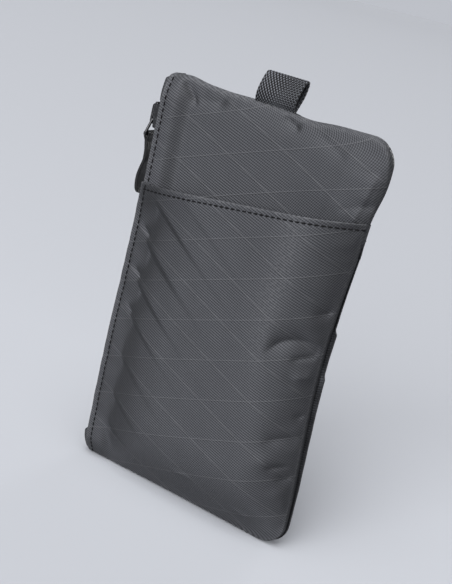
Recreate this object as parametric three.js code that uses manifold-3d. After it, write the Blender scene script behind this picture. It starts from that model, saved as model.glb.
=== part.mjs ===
// Slim upright pouch of laminated fabric: a slanted slip pocket on the front, a slip pocket on the back,
// a compartment between them that zips along the left side, and a webbing hang loop on the top seam.
// Millimetres, +Z up, the front faces -Y, the origin is the middle of the bottom edge.

import * as THREE from 'three';
import { mergeVertices } from 'three/addons/utils/BufferGeometryUtils.js';
import Module from 'manifold-3d';

const wasm = await Module();
wasm.setup();

// Pouch body
const bodyWidth = 110;
const bodyHeight = 190;
const seamCornerRadius = 12;
const zipCornerRadius = 3;
const panelThickness = 0.8;
const liningThickness = 0.4;
const layerGap = 0.3;
const liningGap = 0.5;
const flatHalf = 3.8;
const zipSlope = 9;
const seamSlope = 20;
const endSlope = 12;
const edgeDrawIn = 5;

// Turned seam round the top, the right side and the bottom
const seamStripHalf = 1.5;
const seamStripWidth = 6;
const seamGroove = 0.5;

// Front slip pocket
const mouthLeft = 139.5;
const mouthRight = 155;
const pocketDepth = 9.3;
const pocketLeftSlope = 14.5;
const pocketRightSlope = 17;
const pocketBaseSlope = 16;
const pocketEdgeStep = 0.4;
const hemHeight = 10;
const hemFold = 0.5;

// Back slip pocket
const backMouth = 148;
const backPocketSlack = 0.8;
const backPocketSlope = 16;

// Zip tape and coil chain
const tapeThickness = 0.5;
const tapeLegLength = 5;
const tapeInnerEdge = 0.8;
const tapeStandOff = 0.1;
const tapeShoulderMargin = 1;
const coilSeat = 0.05;
const coilPitch = 2.2;
const coilHalfWidth = 2.3;
const coilThickness = 1.8;
const coilSpineWidth = 1.2;
const coilTipPastCentre = 0.75;
const toothHeadLength = 0.6;
const toothHeadWidth = 1;
const toothNeckWidth = 0.55;

// Slider, its bail, the wire ring and the pull strap
const sliderLength = 12;
const sliderWing = 1;
const sliderFlange = 0.6;
const sliderClearance = 0.4;
const channelClearance = 0.2;
const neckHalfWidth = 0.55;
const neckTipHalfWidth = 0.14;
const neckClearance = 0.15;
const neckLength = 3.4;
const neckFromMouth = 1.8;
const partingDelay = 1.3;
const sliderStopGap = 1;
const bailWidth = 2.4;
const bailLength = 9.4;
const bailHeight = 3.3;
const bailThickness = 1.2;
const bailRound = 1.8;
const ringWire = 1.3;
const ringHeight = 7;
const ringTopWidth = 4.6;
const ringCorner = 1.1;
const ringClearance = 0.3;
const ringTilt = THREE.MathUtils.degToRad(9);
const strapWidth = 6;
const strapPly = 0.7;
const strapLength = 28;
const strapSway = 0.9;
const strapClearance = 0.3;
const strapEyeGap = 0.3;
const strapEyeNeck = 2.9;
const strapEyeOpening = THREE.MathUtils.degToRad(110);

// Fabric tabs over the two ends of the zip
const tabThickness = 1;
const tabChamfer = 0.8;
const tabLength = 10.3;
const tabTopInset = 2.4;
const tabBottomInset = 1.5;
const tabReach = 3.2;
const tabDepth = 2.8;
const tabClearance = 0.4;
const tabSideGap = 0.7;

// Webbing hang loop
const loopWidth = 20;
const loopWebbing = 1.2;
const loopHeight = 13.4;
const loopHalfDepth = 3.8;
const loopShoulder = 7.8;
const loopTopRound = 1.9;
const loopFootRadius = 1.6;
const loopHingeHeight = 1.9;
const loopLean = 0.5;
const loopTailHalf = 0.9;
const loopTailDepth = 9;
const loopClearance = 0.3;

// Facets
const panelColumns = 14;
const liningColumns = 8;
const rowSpacing = 15;
const liningRowSpacing = 24;
const cornerSteps = 5;
const ringSteps = 32;
const strapSteps = 24;
const tabSteps = 4;
const wireSides = 8;
const curveSteps = 6;
const shieldStep = 1.4;
const mergeDistance = 1e-4;

// Sizes that follow from the ones above
const seamHalf = seamStripHalf + layerGap + panelThickness;
const coilParting = neckHalfWidth + neckClearance + coilTipPastCentre;
const sliderHalfMouth = coilHalfWidth + coilParting + channelClearance + sliderFlange;
const tapeLegInner = sliderHalfMouth + sliderClearance;
const tapeLegOuter = tapeLegInner + tapeThickness;
const zipSideHalf = tapeLegOuter + layerGap + panelThickness;
const zipShoulder = tapeLegLength + tapeShoulderMargin;
const zipEdge = -bodyWidth / 2;
const tapeInnerX = zipEdge - tapeStandOff;
const tapeOuterX = tapeInnerX - tapeThickness;
const coilInnerX = tapeOuterX - coilSeat;
const coilOuterX = coilInnerX - coilThickness;
const topTabZ = bodyHeight - tabTopInset - tabLength;
const bottomTabZ = tabBottomInset + tabLength;
const zipStartZ = bottomTabZ + layerGap;
const zipEndZ = topTabZ - layerGap;
const sliderTopZ = topTabZ - sliderStopGap;
const sliderBottomZ = sliderTopZ - sliderLength;
const wingInnerX = coilOuterX - channelClearance;
const wingOuterX = wingInnerX - sliderWing;
const backWingX = tapeInnerX + sliderClearance;
const bailOuterX = wingOuterX - bailHeight;
const bailBottomZ = sliderBottomZ + (sliderLength - bailLength) / 2;
const ringPivotX = (wingOuterX + bailOuterX + bailThickness) / 2;
const ringPivotZ = bailBottomZ + bailThickness + ringClearance + ringWire / 2;
const strapEyeX = ringPivotX - ringHeight * Math.sin(ringTilt);
const strapEyeZ = ringPivotZ - ringHeight * Math.cos(ringTilt);
const strapEyeRadius = ringWire / 2 + strapEyeGap;
const strapNearestX = zipEdge - tabReach - strapClearance - strapPly;
const liningInset = seamStripWidth + layerGap;
const liningZipInset = tabDepth + tabSideGap;
const seamStripStart = zipEdge + liningZipInset;

// Plain curve shapes
function ease(t) {
  const s = THREE.MathUtils.clamp(t, 0, 1);
  return s * (1.5 - 0.5 * s * s);
}

function smooth(t) {
  return THREE.MathUtils.smoothstep(t, 0, 1);
}

function cornerInset(radius, fromEnd) {
  if (fromEnd >= radius) return 0;
  const rise = radius - fromEnd;
  return radius - Math.sqrt(radius * radius - rise * rise);
}

// Outline of the pouch seen from the front: the zip edge on the left, the seamed edge on the right
function zipEdgeX(z) {
  return zipEdge + cornerInset(zipCornerRadius, Math.min(z, bodyHeight - z));
}

function seamEdgeX(z, inset = 0) {
  const waist = edgeDrawIn * Math.sin((Math.PI * z) / bodyHeight) ** 2;
  const fromEnd = Math.min(z, bodyHeight - z) - inset;
  return bodyWidth / 2 - inset - waist - cornerInset(seamCornerRadius - inset, fromEnd);
}

// Half the thickness of the body: wide at the zip, flat in the middle, thin at the seams
function bodyHalf(x, z) {
  const fromZip = x - zipEdgeX(z);
  const fromSeam = seamEdgeX(z) - x;
  const zipRise = (zipSideHalf - flatHalf) * (1 - smooth((fromZip - zipShoulder) / zipSlope));
  const seamFall = (flatHalf - seamHalf) * (1 - ease(fromSeam / seamSlope));
  const across = flatHalf + zipRise - seamFall;
  const fromEnd = THREE.MathUtils.clamp(Math.min(z, bodyHeight - z) / endSlope, 0, 1);
  return seamHalf + (across - seamHalf) * Math.sin((fromEnd * Math.PI) / 2);
}

// Rows and columns of the panels, closer together at the edges
function columnSteps(count) {
  return Array.from({ length: count + 1 }, (_, k) => (1 - Math.cos((Math.PI * k) / count)) / 2);
}

function cornerRows(radius) {
  const step = Math.PI / 2 / cornerSteps;
  return Array.from({ length: cornerSteps + 1 }, (_, k) => radius * (1 - Math.cos(step * k)));
}

function levelRows(from, to, spacing) {
  const count = Math.max(2, Math.round((to - from) / spacing));
  return evenRows(from, to, count);
}

function evenRows(from, to, count) {
  return Array.from({ length: count + 1 }, (_, k) => from + ((to - from) * k) / count);
}

function outlineRows(bottom, top, radius, spacing) {
  const corner = cornerRows(radius);
  const lower = corner.map((rise) => bottom + rise);
  const upper = corner.map((rise) => top - rise).reverse();
  return [...lower, ...levelRows(bottom + radius, top - radius, spacing).slice(1, -1), ...upper];
}

// A closed solid from shared points and triangles, turned so that its faces point out
function solidGeometry(points, triangles) {
  let volume = 0;
  for (const [a, b, c] of triangles) {
    volume += points[a].dot(new THREE.Vector3().crossVectors(points[b], points[c]));
  }
  const order = volume < 0 ? triangles.map(([a, b, c]) => [a, c, b]) : triangles;
  const geometry = new THREE.BufferGeometry();
  geometry.setAttribute('position', new THREE.Float32BufferAttribute(points.flatMap((p) => p.toArray()), 3));
  geometry.setIndex(order.flat());
  return geometry;
}

// A thin sheet with an outer and an inner face, each a function of row and column, closed round its border
function sheet(rowCount, columnCount, outer, inner) {
  const points = [];
  for (const face of [outer, inner]) {
    for (let r = 0; r < rowCount; r += 1) {
      for (let c = 0; c < columnCount; c += 1) points.push(new THREE.Vector3(...face(r, c)));
    }
  }
  const layer = rowCount * columnCount;
  const at = (r, c) => r * columnCount + c;
  const triangles = [];
  const quad = (a, b, c, d) => triangles.push([a, b, c], [a, c, d]);
  for (let r = 0; r + 1 < rowCount; r += 1) {
    for (let c = 0; c + 1 < columnCount; c += 1) {
      const ring = [at(r, c), at(r, c + 1), at(r + 1, c + 1), at(r + 1, c)];
      quad(...ring);
      triangles.push([ring[0] + layer, ring[2] + layer, ring[1] + layer]);
      triangles.push([ring[0] + layer, ring[3] + layer, ring[2] + layer]);
    }
  }
  const border = [];
  for (let c = 0; c < columnCount; c += 1) border.push(at(0, c));
  for (let r = 1; r < rowCount; r += 1) border.push(at(r, columnCount - 1));
  for (let c = columnCount - 2; c >= 0; c -= 1) border.push(at(rowCount - 1, c));
  for (let r = rowCount - 2; r >= 1; r -= 1) border.push(at(r, 0));
  border.forEach((a, k) => {
    const b = border[(k + 1) % border.length];
    quad(b, a, a + layer, b + layer);
  });
  return solidGeometry(points, triangles);
}

// A stack of closed rings with the same number of points, capped at both ends by the given triangulation
function loft(rings, capTriangles) {
  const points = rings.flat();
  const count = rings[0].length;
  const triangles = [];
  for (let r = 0; r + 1 < rings.length; r += 1) {
    for (let k = 0; k < count; k += 1) {
      const a = r * count + k;
      const b = r * count + ((k + 1) % count);
      triangles.push([a, b, b + count], [a, b + count, a + count]);
    }
  }
  const last = (rings.length - 1) * count;
  for (const [a, b, c] of capTriangles) {
    triangles.push([a, c, b], [last + a, last + b, last + c]);
  }
  return solidGeometry(points, triangles);
}

// Extrusions across the pouch: a shape drawn in the named plane, between two places on the third axis
const alongX = new THREE.Vector3(1, 0, 0);
const alongY = new THREE.Vector3(0, 1, 0);
const alongZ = new THREE.Vector3(0, 0, 1);
const drawingPlanes = {
  yz: new THREE.Matrix4().makeBasis(alongY, alongZ, alongX),
  xz: new THREE.Matrix4().makeBasis(alongX, alongZ, alongY.clone().negate()),
  xy: new THREE.Matrix4(),
};

function extrude(shape, plane, from, to) {
  const options = { depth: to - from, bevelEnabled: false, curveSegments: curveSteps };
  const geometry = new THREE.ExtrudeGeometry(shape, options);
  geometry.translate(0, 0, plane === 'xz' ? -to : from);
  return geometry.applyMatrix4(drawingPlanes[plane]);
}

function polygon(corners) {
  return new THREE.Shape(corners.map(([a, b]) => new THREE.Vector2(a, b)));
}

function rectangle(left, right, low, high) {
  return polygon([[left, low], [right, low], [right, high], [left, high]]);
}

// Joins and cuts
function toManifold(geometry) {
  const bare = geometry.clone();
  bare.deleteAttribute('normal');
  bare.deleteAttribute('uv');
  const merged = mergeVertices(bare, mergeDistance);
  const vertProperties = new Float32Array(merged.attributes.position.array);
  const triVerts = new Uint32Array(merged.index.array);
  return new wasm.Manifold(new wasm.Mesh({ numProp: 3, vertProperties, triVerts }));
}

function fromManifold(manifold) {
  const mesh = manifold.getMesh();
  const geometry = new THREE.BufferGeometry();
  geometry.setAttribute('position', new THREE.Float32BufferAttribute(mesh.vertProperties, 3));
  geometry.setIndex(Array.from(mesh.triVerts));
  return geometry;
}

function join(...geometries) {
  return fromManifold(geometries.map(toManifold).reduce((a, b) => a.add(b)));
}

function cut(geometry, tool) {
  return fromManifold(toManifold(geometry).subtract(toManifold(tool)));
}

function common(geometry, mask) {
  return fromManifold(toManifold(geometry).intersect(toManifold(mask)));
}

// Body panels: side -1 is the front, +1 is the back
function bodyPanel(side) {
  const rows = outlineRows(0, bodyHeight, seamCornerRadius, rowSpacing);
  const columns = columnSteps(panelColumns);
  const place = (depth) => (r, c) => {
    const z = rows[r];
    const x = THREE.MathUtils.lerp(zipEdgeX(z), seamEdgeX(z), columns[c]);
    return [x, side * (bodyHalf(x, z) - depth), z];
  };
  return sheet(rows.length, columns.length, place(0), place(panelThickness));
}

// A slip pocket lies on its body panel round the sides and base, and stands off it inside those slopes
function slipPocket({ side, mouth, depth, leftSlope, rightSlope, baseSlope, edgeStep }) {
  const columns = columnSteps(panelColumns);
  const corner = cornerRows(seamCornerRadius);
  const bays = Math.round((mouth(1) - seamCornerRadius) / rowSpacing);
  const rowsAt = (u) => {
    const hemEdge = mouth(u) - hemHeight;
    return [...corner, ...evenRows(seamCornerRadius, hemEdge - hemFold, bays).slice(1), hemEdge, mouth(u)];
  };
  const rows = columns.map(rowsAt);
  const rowCount = rows[0].length;
  const place = (wall) => (r, c) => {
    const z = rows[c][r];
    const left = zipEdgeX(z) - edgeStep;
    const right = seamEdgeX(z);
    const x = THREE.MathUtils.lerp(left, right, columns[c]);
    const across = ease((x - left) / leftSlope) * ease((right - x) / rightSlope);
    const seat = bodyHalf(Math.max(x, zipEdgeX(z)), z);
    const full = Math.max(seat, flatHalf + depth);
    const surface = THREE.MathUtils.lerp(seat, full, across * ease(z / baseSlope));
    const hem = wall > 0 && r >= rowCount - 2 ? Math.min(hemFold, surface - seat) : 0;
    return [x, side * (surface + layerGap + panelThickness - wall - hem), z];
  };
  return sheet(rowCount, columns.length, place(0), place(panelThickness));
}

function frontPocketPanel() {
  return slipPocket({
    side: -1,
    mouth: (u) => THREE.MathUtils.lerp(mouthLeft, mouthRight, u),
    depth: pocketDepth,
    leftSlope: pocketLeftSlope,
    rightSlope: pocketRightSlope,
    baseSlope: pocketBaseSlope,
    edgeStep: pocketEdgeStep,
  });
}

function backPocketPanel() {
  return slipPocket({
    side: 1,
    mouth: () => backMouth,
    depth: backPocketSlack,
    leftSlope: backPocketSlope,
    rightSlope: backPocketSlope,
    baseSlope: backPocketSlope,
    edgeStep: 0,
  });
}

// Linings of the zipped compartment, inside the seam strip and clear of the zip
function lining(side) {
  const radius = seamCornerRadius - liningInset;
  const rows = outlineRows(liningInset, bodyHeight - liningInset, radius, liningRowSpacing);
  const columns = columnSteps(liningColumns);
  const outerDepth = panelThickness + liningGap;
  const tapeDepth = panelThickness + 2 * layerGap + tapeThickness;
  const place = (thickness) => (r, c) => {
    const z = rows[r];
    const x = THREE.MathUtils.lerp(zipEdge + liningZipInset, seamEdgeX(z, liningInset), columns[c]);
    const overTape = 1 - smooth((x - zipEdge - zipShoulder) / zipSlope);
    const depth = THREE.MathUtils.lerp(outerDepth, tapeDepth, overTape) + thickness;
    return [x, side * (bodyHalf(x, z) - depth), z];
  };
  return sheet(rows.length, columns.length, place(0), place(liningThickness));
}

// Seam allowances turned inside: one U-shaped strip with a slot for the tails of the hang loop
function seamPath() {
  const path = [];
  const topZ = bodyHeight - seamGroove;
  const cornerX = bodyWidth / 2 - seamCornerRadius;
  for (const x of levelRows(seamStripStart, cornerX, rowSpacing).slice(0, -1)) {
    path.push({ x, z: topZ, nx: 0, nz: -1 });
  }
  const turn = (from, centreZ, radius) => {
    for (let k = 0; k <= cornerSteps; k += 1) {
      const angle = from - (Math.PI / 2) * (k / cornerSteps);
      const nx = -Math.cos(angle);
      const nz = -Math.sin(angle);
      const waist = edgeDrawIn * Math.sin((Math.PI * centreZ) / bodyHeight) ** 2 * Math.abs(nx);
      const reach = radius(k / cornerSteps);
      path.push({ x: cornerX - waist - reach * nx, z: centreZ - reach * nz, nx, nz });
    }
  };
  turn(Math.PI / 2, bodyHeight - seamCornerRadius, () => seamCornerRadius - seamGroove);
  for (const z of levelRows(bodyHeight - seamCornerRadius, seamCornerRadius, rowSpacing).slice(1, -1)) {
    path.push({ x: seamEdgeX(z) - seamGroove, z, nx: -1, nz: 0 });
  }
  turn(0, seamCornerRadius, (t) => seamCornerRadius - seamGroove * (1 - t));
  for (const x of levelRows(cornerX, seamStripStart, rowSpacing).slice(1)) {
    path.push({ x, z: 0, nx: 0, nz: 1 });
  }
  return path;
}

function seamAllowance() {
  const path = seamPath();
  const place = (side) => (r, c) => {
    const { x, z, nx, nz } = path[r];
    const inward = c === 0 ? 0 : seamStripWidth - seamGroove;
    return [x + nx * inward, side * seamStripHalf, z + nz * inward];
  };
  const strip = sheet(path.length, 2, place(-1), place(1));
  const slotHalf = loopTailHalf + loopClearance;
  const slotReach = loopWidth / 2 + loopClearance;
  const slot = rectangle(-slotReach, slotReach, -slotHalf, slotHalf);
  return cut(strip, extrude(slot, 'xy', bodyHeight - seamStripWidth * 2, bodyHeight + seamStripWidth));
}

// Zip tape: one leg sewn inside the panel's folded edge, the other across the side to the chain
function zipTape(side) {
  const legEnd = zipEdge + tapeLegLength;
  const shape = polygon([
    [legEnd, side * tapeLegOuter],
    [tapeOuterX + tapeThickness, side * tapeLegOuter],
    [tapeOuterX, side * tapeLegInner],
    [tapeOuterX, side * tapeInnerEdge],
    [tapeInnerX, side * tapeInnerEdge],
    [tapeInnerX, side * tapeLegInner],
    [legEnd, side * tapeLegInner],
  ]);
  return extrude(shape, 'xy', zipStartZ, zipEndZ);
}

// The two rows of the chain mesh below the slider and part inside it, round its neck
function parting(z) {
  const neckFoot = sliderTopZ - neckFromMouth - neckLength;
  return coilParting * smooth((z - sliderBottomZ - partingDelay) / (neckFoot - sliderBottomZ));
}

function zipCoil(side) {
  const shift = side > 0 ? coilPitch / 2 : 0;
  const spineInner = coilHalfWidth - coilSpineWidth;
  const count = Math.floor((zipEndZ - zipStartZ - coilPitch) / coilPitch);
  const first = zipStartZ + coilPitch / 2 + shift;
  const spine = [];
  const teeth = [];
  for (let k = 0; k < count; k += 1) {
    const z = first + k * coilPitch;
    const away = parting(z);
    const across = (offset) => side * (offset + away);
    spine.push([across(coilHalfWidth), z]);
    const neck = toothNeckWidth / 2;
    const head = toothHeadWidth / 2;
    const headFoot = toothHeadLength - coilTipPastCentre;
    teeth.push(
      [across(spineInner), z - neck],
      [across(headFoot), z - neck],
      [across(headFoot), z - head],
      [across(-coilTipPastCentre), z - head],
      [across(-coilTipPastCentre), z + head],
      [across(headFoot), z + head],
      [across(headFoot), z + neck],
      [across(spineInner), z + neck],
    );
  }
  const lower = [[side * coilHalfWidth, zipStartZ], [side * spineInner, zipStartZ]];
  const away = parting(zipEndZ);
  const upper = [[side * (spineInner + away), zipEndZ], [side * (coilHalfWidth + away), zipEndZ]];
  const shape = polygon([...lower, ...teeth, ...upper, ...spine.reverse()]);
  return extrude(shape, 'yz', coilOuterX, coilInnerX);
}

// Slider: two shield-shaped wings on a neck, with flanges that follow the parting rows of the chain
function shieldSide(wall) {
  const corner = sliderFlange;
  const side = levelRows(sliderBottomZ + corner, sliderTopZ - corner, shieldStep).map((z) => {
    return [coilHalfWidth + parting(z) + channelClearance + wall, z];
  });
  const [throat] = side[0];
  const [mouth] = side[side.length - 1];
  return [[throat - corner, sliderBottomZ], ...side, [mouth - corner, sliderTopZ]];
}

function shield() {
  const right = shieldSide(sliderFlange);
  return polygon([...right, ...right.map(([y, z]) => [-y, z]).reverse()]);
}

function flange(side) {
  const outer = shieldSide(sliderFlange);
  const inner = shieldSide(0).slice(1, -1).reverse();
  const ends = outer.slice(1, -1);
  return polygon([...ends, ...inner].map(([y, z]) => [side * y, z]));
}

function sliderBody() {
  const bite = sliderWing / 2;
  const outerWing = extrude(shield(), 'yz', wingOuterX, wingInnerX);
  const backWing = extrude(shield(), 'yz', backWingX, backWingX + sliderWing);
  const flangeEnd = tapeOuterX - sliderClearance;
  const flanges = [-1, 1].map((side) => extrude(flange(side), 'yz', wingInnerX - bite, flangeEnd));
  const neckTop = sliderTopZ - neckFromMouth;
  const neckFoot = neckTop - neckLength;
  const neckShape = polygon([
    [-neckTipHalfWidth, neckFoot],
    [neckTipHalfWidth, neckFoot],
    [neckHalfWidth, neckFoot + neckLength / 2],
    [neckHalfWidth, neckTop],
    [-neckHalfWidth, neckTop],
    [-neckHalfWidth, neckFoot + neckLength / 2],
  ]);
  const neck = extrude(neckShape, 'yz', wingInnerX - bite, backWingX + bite);
  return join(outerWing, backWing, neck, ...flanges);
}

// Bail: the bridge over the slider's outer wing that carries the ring
function sliderBail() {
  const foot = wingOuterX - coilSeat;
  const topZ = bailBottomZ + bailLength;
  const arch = (inset) => {
    const crest = bailOuterX + inset;
    const low = bailBottomZ + inset;
    const high = topZ - inset;
    const bend = bailRound - inset / 2;
    return { crest, low, high, bend };
  };
  const outer = arch(0);
  const inner = arch(bailThickness);
  const shape = new THREE.Shape();
  shape.moveTo(foot, outer.low);
  shape.lineTo(outer.crest + outer.bend, outer.low);
  shape.quadraticCurveTo(outer.crest, outer.low, outer.crest, outer.low + outer.bend);
  shape.lineTo(outer.crest, outer.high - outer.bend);
  shape.quadraticCurveTo(outer.crest, outer.high, outer.crest + outer.bend, outer.high);
  shape.lineTo(foot, outer.high);
  shape.lineTo(foot, inner.high);
  shape.lineTo(inner.crest + inner.bend, inner.high);
  shape.quadraticCurveTo(inner.crest, inner.high, inner.crest, inner.high - inner.bend);
  shape.lineTo(inner.crest, inner.low + inner.bend);
  shape.quadraticCurveTo(inner.crest, inner.low, inner.crest + inner.bend, inner.low);
  shape.lineTo(foot, inner.low);
  return extrude(shape, 'xz', -bailWidth / 2, bailWidth / 2);
}

// Wire ring: narrow where it passes through the bail, wide and straight where the strap hangs
function pullRing() {
  const bottomHalf = strapWidth / 2 + ringClearance + ringCorner;
  const topHalf = ringTopWidth / 2;
  const at = (y, drop) => new THREE.Vector3(0, y, -drop);
  const outline = [at(-topHalf, 0), at(topHalf, 0), at(bottomHalf, ringHeight), at(-bottomHalf, ringHeight)];
  const towards = (from, to) => from.clone().add(to.clone().sub(from).setLength(ringCorner));
  const route = new THREE.CurvePath();
  outline.forEach((point, k) => {
    const before = outline[(k + 3) % 4];
    const after = outline[(k + 1) % 4];
    route.add(new THREE.QuadraticBezierCurve3(towards(point, before), point, towards(point, after)));
    route.add(new THREE.LineCurve3(towards(point, after), towards(after, point)));
  });
  const rings = [];
  for (let k = 0; k < ringSteps; k += 1) {
    const centre = route.getPointAt(k / ringSteps);
    const along = route.getTangentAt(k / ringSteps);
    const out = new THREE.Vector3().crossVectors(along, alongX);
    rings.push(Array.from({ length: wireSides }, (_, s) => {
      const angle = (2 * Math.PI * s) / wireSides;
      return centre.clone()
        .addScaledVector(alongX, (Math.cos(angle) * ringWire) / 2)
        .addScaledVector(out, (Math.sin(angle) * ringWire) / 2);
    }));
  }
  const points = rings.flat();
  const triangles = [];
  for (let k = 0; k < ringSteps; k += 1) {
    for (let s = 0; s < wireSides; s += 1) {
      const a = k * wireSides + s;
      const b = k * wireSides + ((s + 1) % wireSides);
      const c = ((k + 1) % ringSteps) * wireSides + ((s + 1) % wireSides);
      const d = ((k + 1) % ringSteps) * wireSides + s;
      triangles.push([a, b, c], [a, c, d]);
    }
  }
  const geometry = solidGeometry(points, triangles);
  geometry.rotateY(ringTilt);
  return geometry.translate(ringPivotX, 0, ringPivotZ);
}

// Pull strap: folded double round the ring's lower bar, hanging in a slack double bend
function strapCentre(t) {
  const foot = strapNearestX - strapSway / 2;
  const line = THREE.MathUtils.lerp(strapEyeX, foot, ease(t * 2));
  const bend = strapSway * Math.sin(2 * Math.PI * (t - 0.5)) * smooth(t * 2);
  const x = Math.min(line - Math.max(bend, -strapSway / 2), strapNearestX);
  return new THREE.Vector2(x, strapEyeZ - strapLength * t);
}

function pullStrap() {
  const eyeOuter = strapEyeRadius + strapPly;
  const neckT = strapEyeNeck / strapLength;
  const outerSide = [];
  const innerSide = [];
  for (let k = 0; k <= strapSteps; k += 1) {
    const t = THREE.MathUtils.lerp(neckT, 1, k / strapSteps);
    const centre = strapCentre(t);
    outerSide.push([centre.x - strapPly, centre.y]);
    innerSide.push([centre.x + strapPly, centre.y]);
  }
  const eye = [];
  const from = (strapEyeOpening - Math.PI) / 2;
  const eyeSteps = curveSteps * 2;
  for (let k = 0; k <= eyeSteps; k += 1) {
    const angle = THREE.MathUtils.lerp(from, Math.PI - from, k / eyeSteps);
    eye.push([strapEyeX + eyeOuter * Math.cos(angle), strapEyeZ + eyeOuter * Math.sin(angle)]);
  }
  const shape = polygon([...eye, ...outerSide, ...innerSide.reverse()]);
  const hole = new THREE.Path();
  hole.absarc(strapEyeX, strapEyeZ, strapEyeRadius, 0, 2 * Math.PI, true);
  shape.holes.push(hole);
  const strap = extrude(shape, 'xz', -strapWidth / 2, strapWidth / 2);
  const tipZ = strapEyeZ - strapLength;
  const half = strapWidth / 2;
  const mask = new THREE.Shape();
  mask.moveTo(half + strapPly, strapEyeZ + strapWidth);
  mask.lineTo(-half - strapPly, strapEyeZ + strapWidth);
  mask.lineTo(-half - strapPly, tipZ + half);
  mask.lineTo(-half, tipZ + half);
  mask.absarc(0, tipZ + half, half, Math.PI, 2 * Math.PI, false);
  mask.lineTo(half + strapPly, tipZ + half);
  return common(strap, extrude(mask, 'yz', strapEyeX - strapLength, zipEdge));
}

// End tabs: a folded strip of fabric round each end of the zip, tapering with the side of the pouch
function endTab(from, to) {
  const outerX = zipEdge - tabReach;
  const innerX = zipEdge + tabDepth;
  const levels = evenRows(from, to, tabSteps);
  const rings = levels.map((z) => {
    const half = bodyHalf(zipEdgeX(z), z) - panelThickness - tabClearance;
    const outline = [
      [innerX, tabThickness - half], [outerX + tabThickness, tabThickness - half],
      [outerX + tabThickness, half - tabThickness], [innerX, half - tabThickness],
      [innerX, half], [outerX + tabChamfer, half], [outerX, half - tabChamfer],
      [outerX, tabChamfer - half], [outerX + tabChamfer, -half], [innerX, -half],
    ];
    return outline.map(([x, y]) => new THREE.Vector3(x, y, z));
  });
  const contour = rings[0].map((p) => new THREE.Vector2(p.x, p.y));
  return loft(rings, THREE.ShapeUtils.triangulateShape(contour, []));
}

// Hang loop: a band of webbing on a rounded foot, free to flop on the seam
function loopContour(inset) {
  const hingeZ = bodyHeight + loopHingeHeight;
  const topZ = bodyHeight + loopHeight - inset;
  const half = loopHalfDepth - inset;
  const flat = half - loopTopRound + inset / 2;
  const shoulder = bodyHeight + loopShoulder;
  const swell = shoulder - half;
  const contour = new THREE.Shape();
  const foot = inset === 0 ? loopFootRadius : 0;
  const footZ = inset === 0 ? hingeZ : hingeZ + loopFootRadius + inset / 2;
  if (foot > 0) contour.absarc(0, footZ, foot, Math.PI, 2 * Math.PI, false);
  else contour.moveTo(foot, footZ);
  contour.quadraticCurveTo(half, swell, half + loopLean / 2, shoulder);
  contour.quadraticCurveTo(half + loopLean, topZ, loopLean + flat, topZ);
  contour.lineTo(loopLean - flat, topZ);
  contour.quadraticCurveTo(loopLean - half, topZ, loopLean / 2 - half, shoulder);
  contour.quadraticCurveTo(-half, swell, -foot, footZ);
  return contour;
}

function topLoop() {
  const band = loopContour(0);
  band.holes.push(new THREE.Path(loopContour(loopWebbing).getPoints(curveSteps)));
  return extrude(band, 'yz', -loopWidth / 2, loopWidth / 2);
}

// Tails of the hang loop, sewn between the seam allowances
function loopTail() {
  const half = loopTailHalf;
  const bottom = bodyHeight - loopTailDepth;
  return extrude(rectangle(-half, half, bottom, bodyHeight), 'yz', -loopWidth / 2, loopWidth / 2);
}

// Finishes
const finishes = {
  shell: { color: 0x4b4c50, roughness: 0.72, metalness: 0 },
  lining: { color: 0x35373b, roughness: 0.8, metalness: 0 },
  webbing: { color: 0x36383b, roughness: 0.85, metalness: 0 },
  tape: { color: 0x232427, roughness: 0.85, metalness: 0 },
  coil: { color: 0x1b1b1d, roughness: 0.45, metalness: 0 },
  metal: { color: 0x17181a, roughness: 0.3, metalness: 1 },
  strap: { color: 0x151617, roughness: 0.55, metalness: 0 },
};

const pouch = new THREE.Group();

function add(name, finish, geometry) {
  const mesh = new THREE.Mesh(geometry, new THREE.MeshStandardMaterial(finishes[finish]));
  mesh.name = name;
  pouch.add(mesh);
}

add('front_pocket_panel', 'shell', frontPocketPanel());
add('front_body_panel', 'shell', bodyPanel(-1));
add('back_body_panel', 'shell', bodyPanel(1));
add('back_pocket_panel', 'shell', backPocketPanel());
add('compartment_lining_front', 'lining', lining(-1));
add('compartment_lining_back', 'lining', lining(1));
add('seam_allowance', 'shell', seamAllowance());
add('zip_tape_front', 'tape', zipTape(-1));
add('zip_tape_back', 'tape', zipTape(1));
add('zip_coil_front', 'coil', zipCoil(-1));
add('zip_coil_back', 'coil', zipCoil(1));
add('zip_end_tab_top', 'shell', endTab(topTabZ, topTabZ + tabLength));
add('zip_end_tab_bottom', 'shell', endTab(tabBottomInset, bottomTabZ));
add('slider_body', 'metal', sliderBody());
add('slider_bail', 'metal', sliderBail());
add('pull_ring', 'metal', pullRing());
add('pull_strap', 'strap', pullStrap());
add('loop_tail', 'webbing', loopTail());
add('top_loop', 'webbing', topLoop());

export default pouch;
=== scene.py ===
"""Slim upright zip pouch of dark laminated fabric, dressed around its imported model.

Sizes are in millimetres and become metres when a mesh is made.
The front faces -Y and the zip is on the -X side.
"""

import functools
import math

import bmesh
import bpy
import numpy as np
from mathutils import Matrix, Vector, noise


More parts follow.
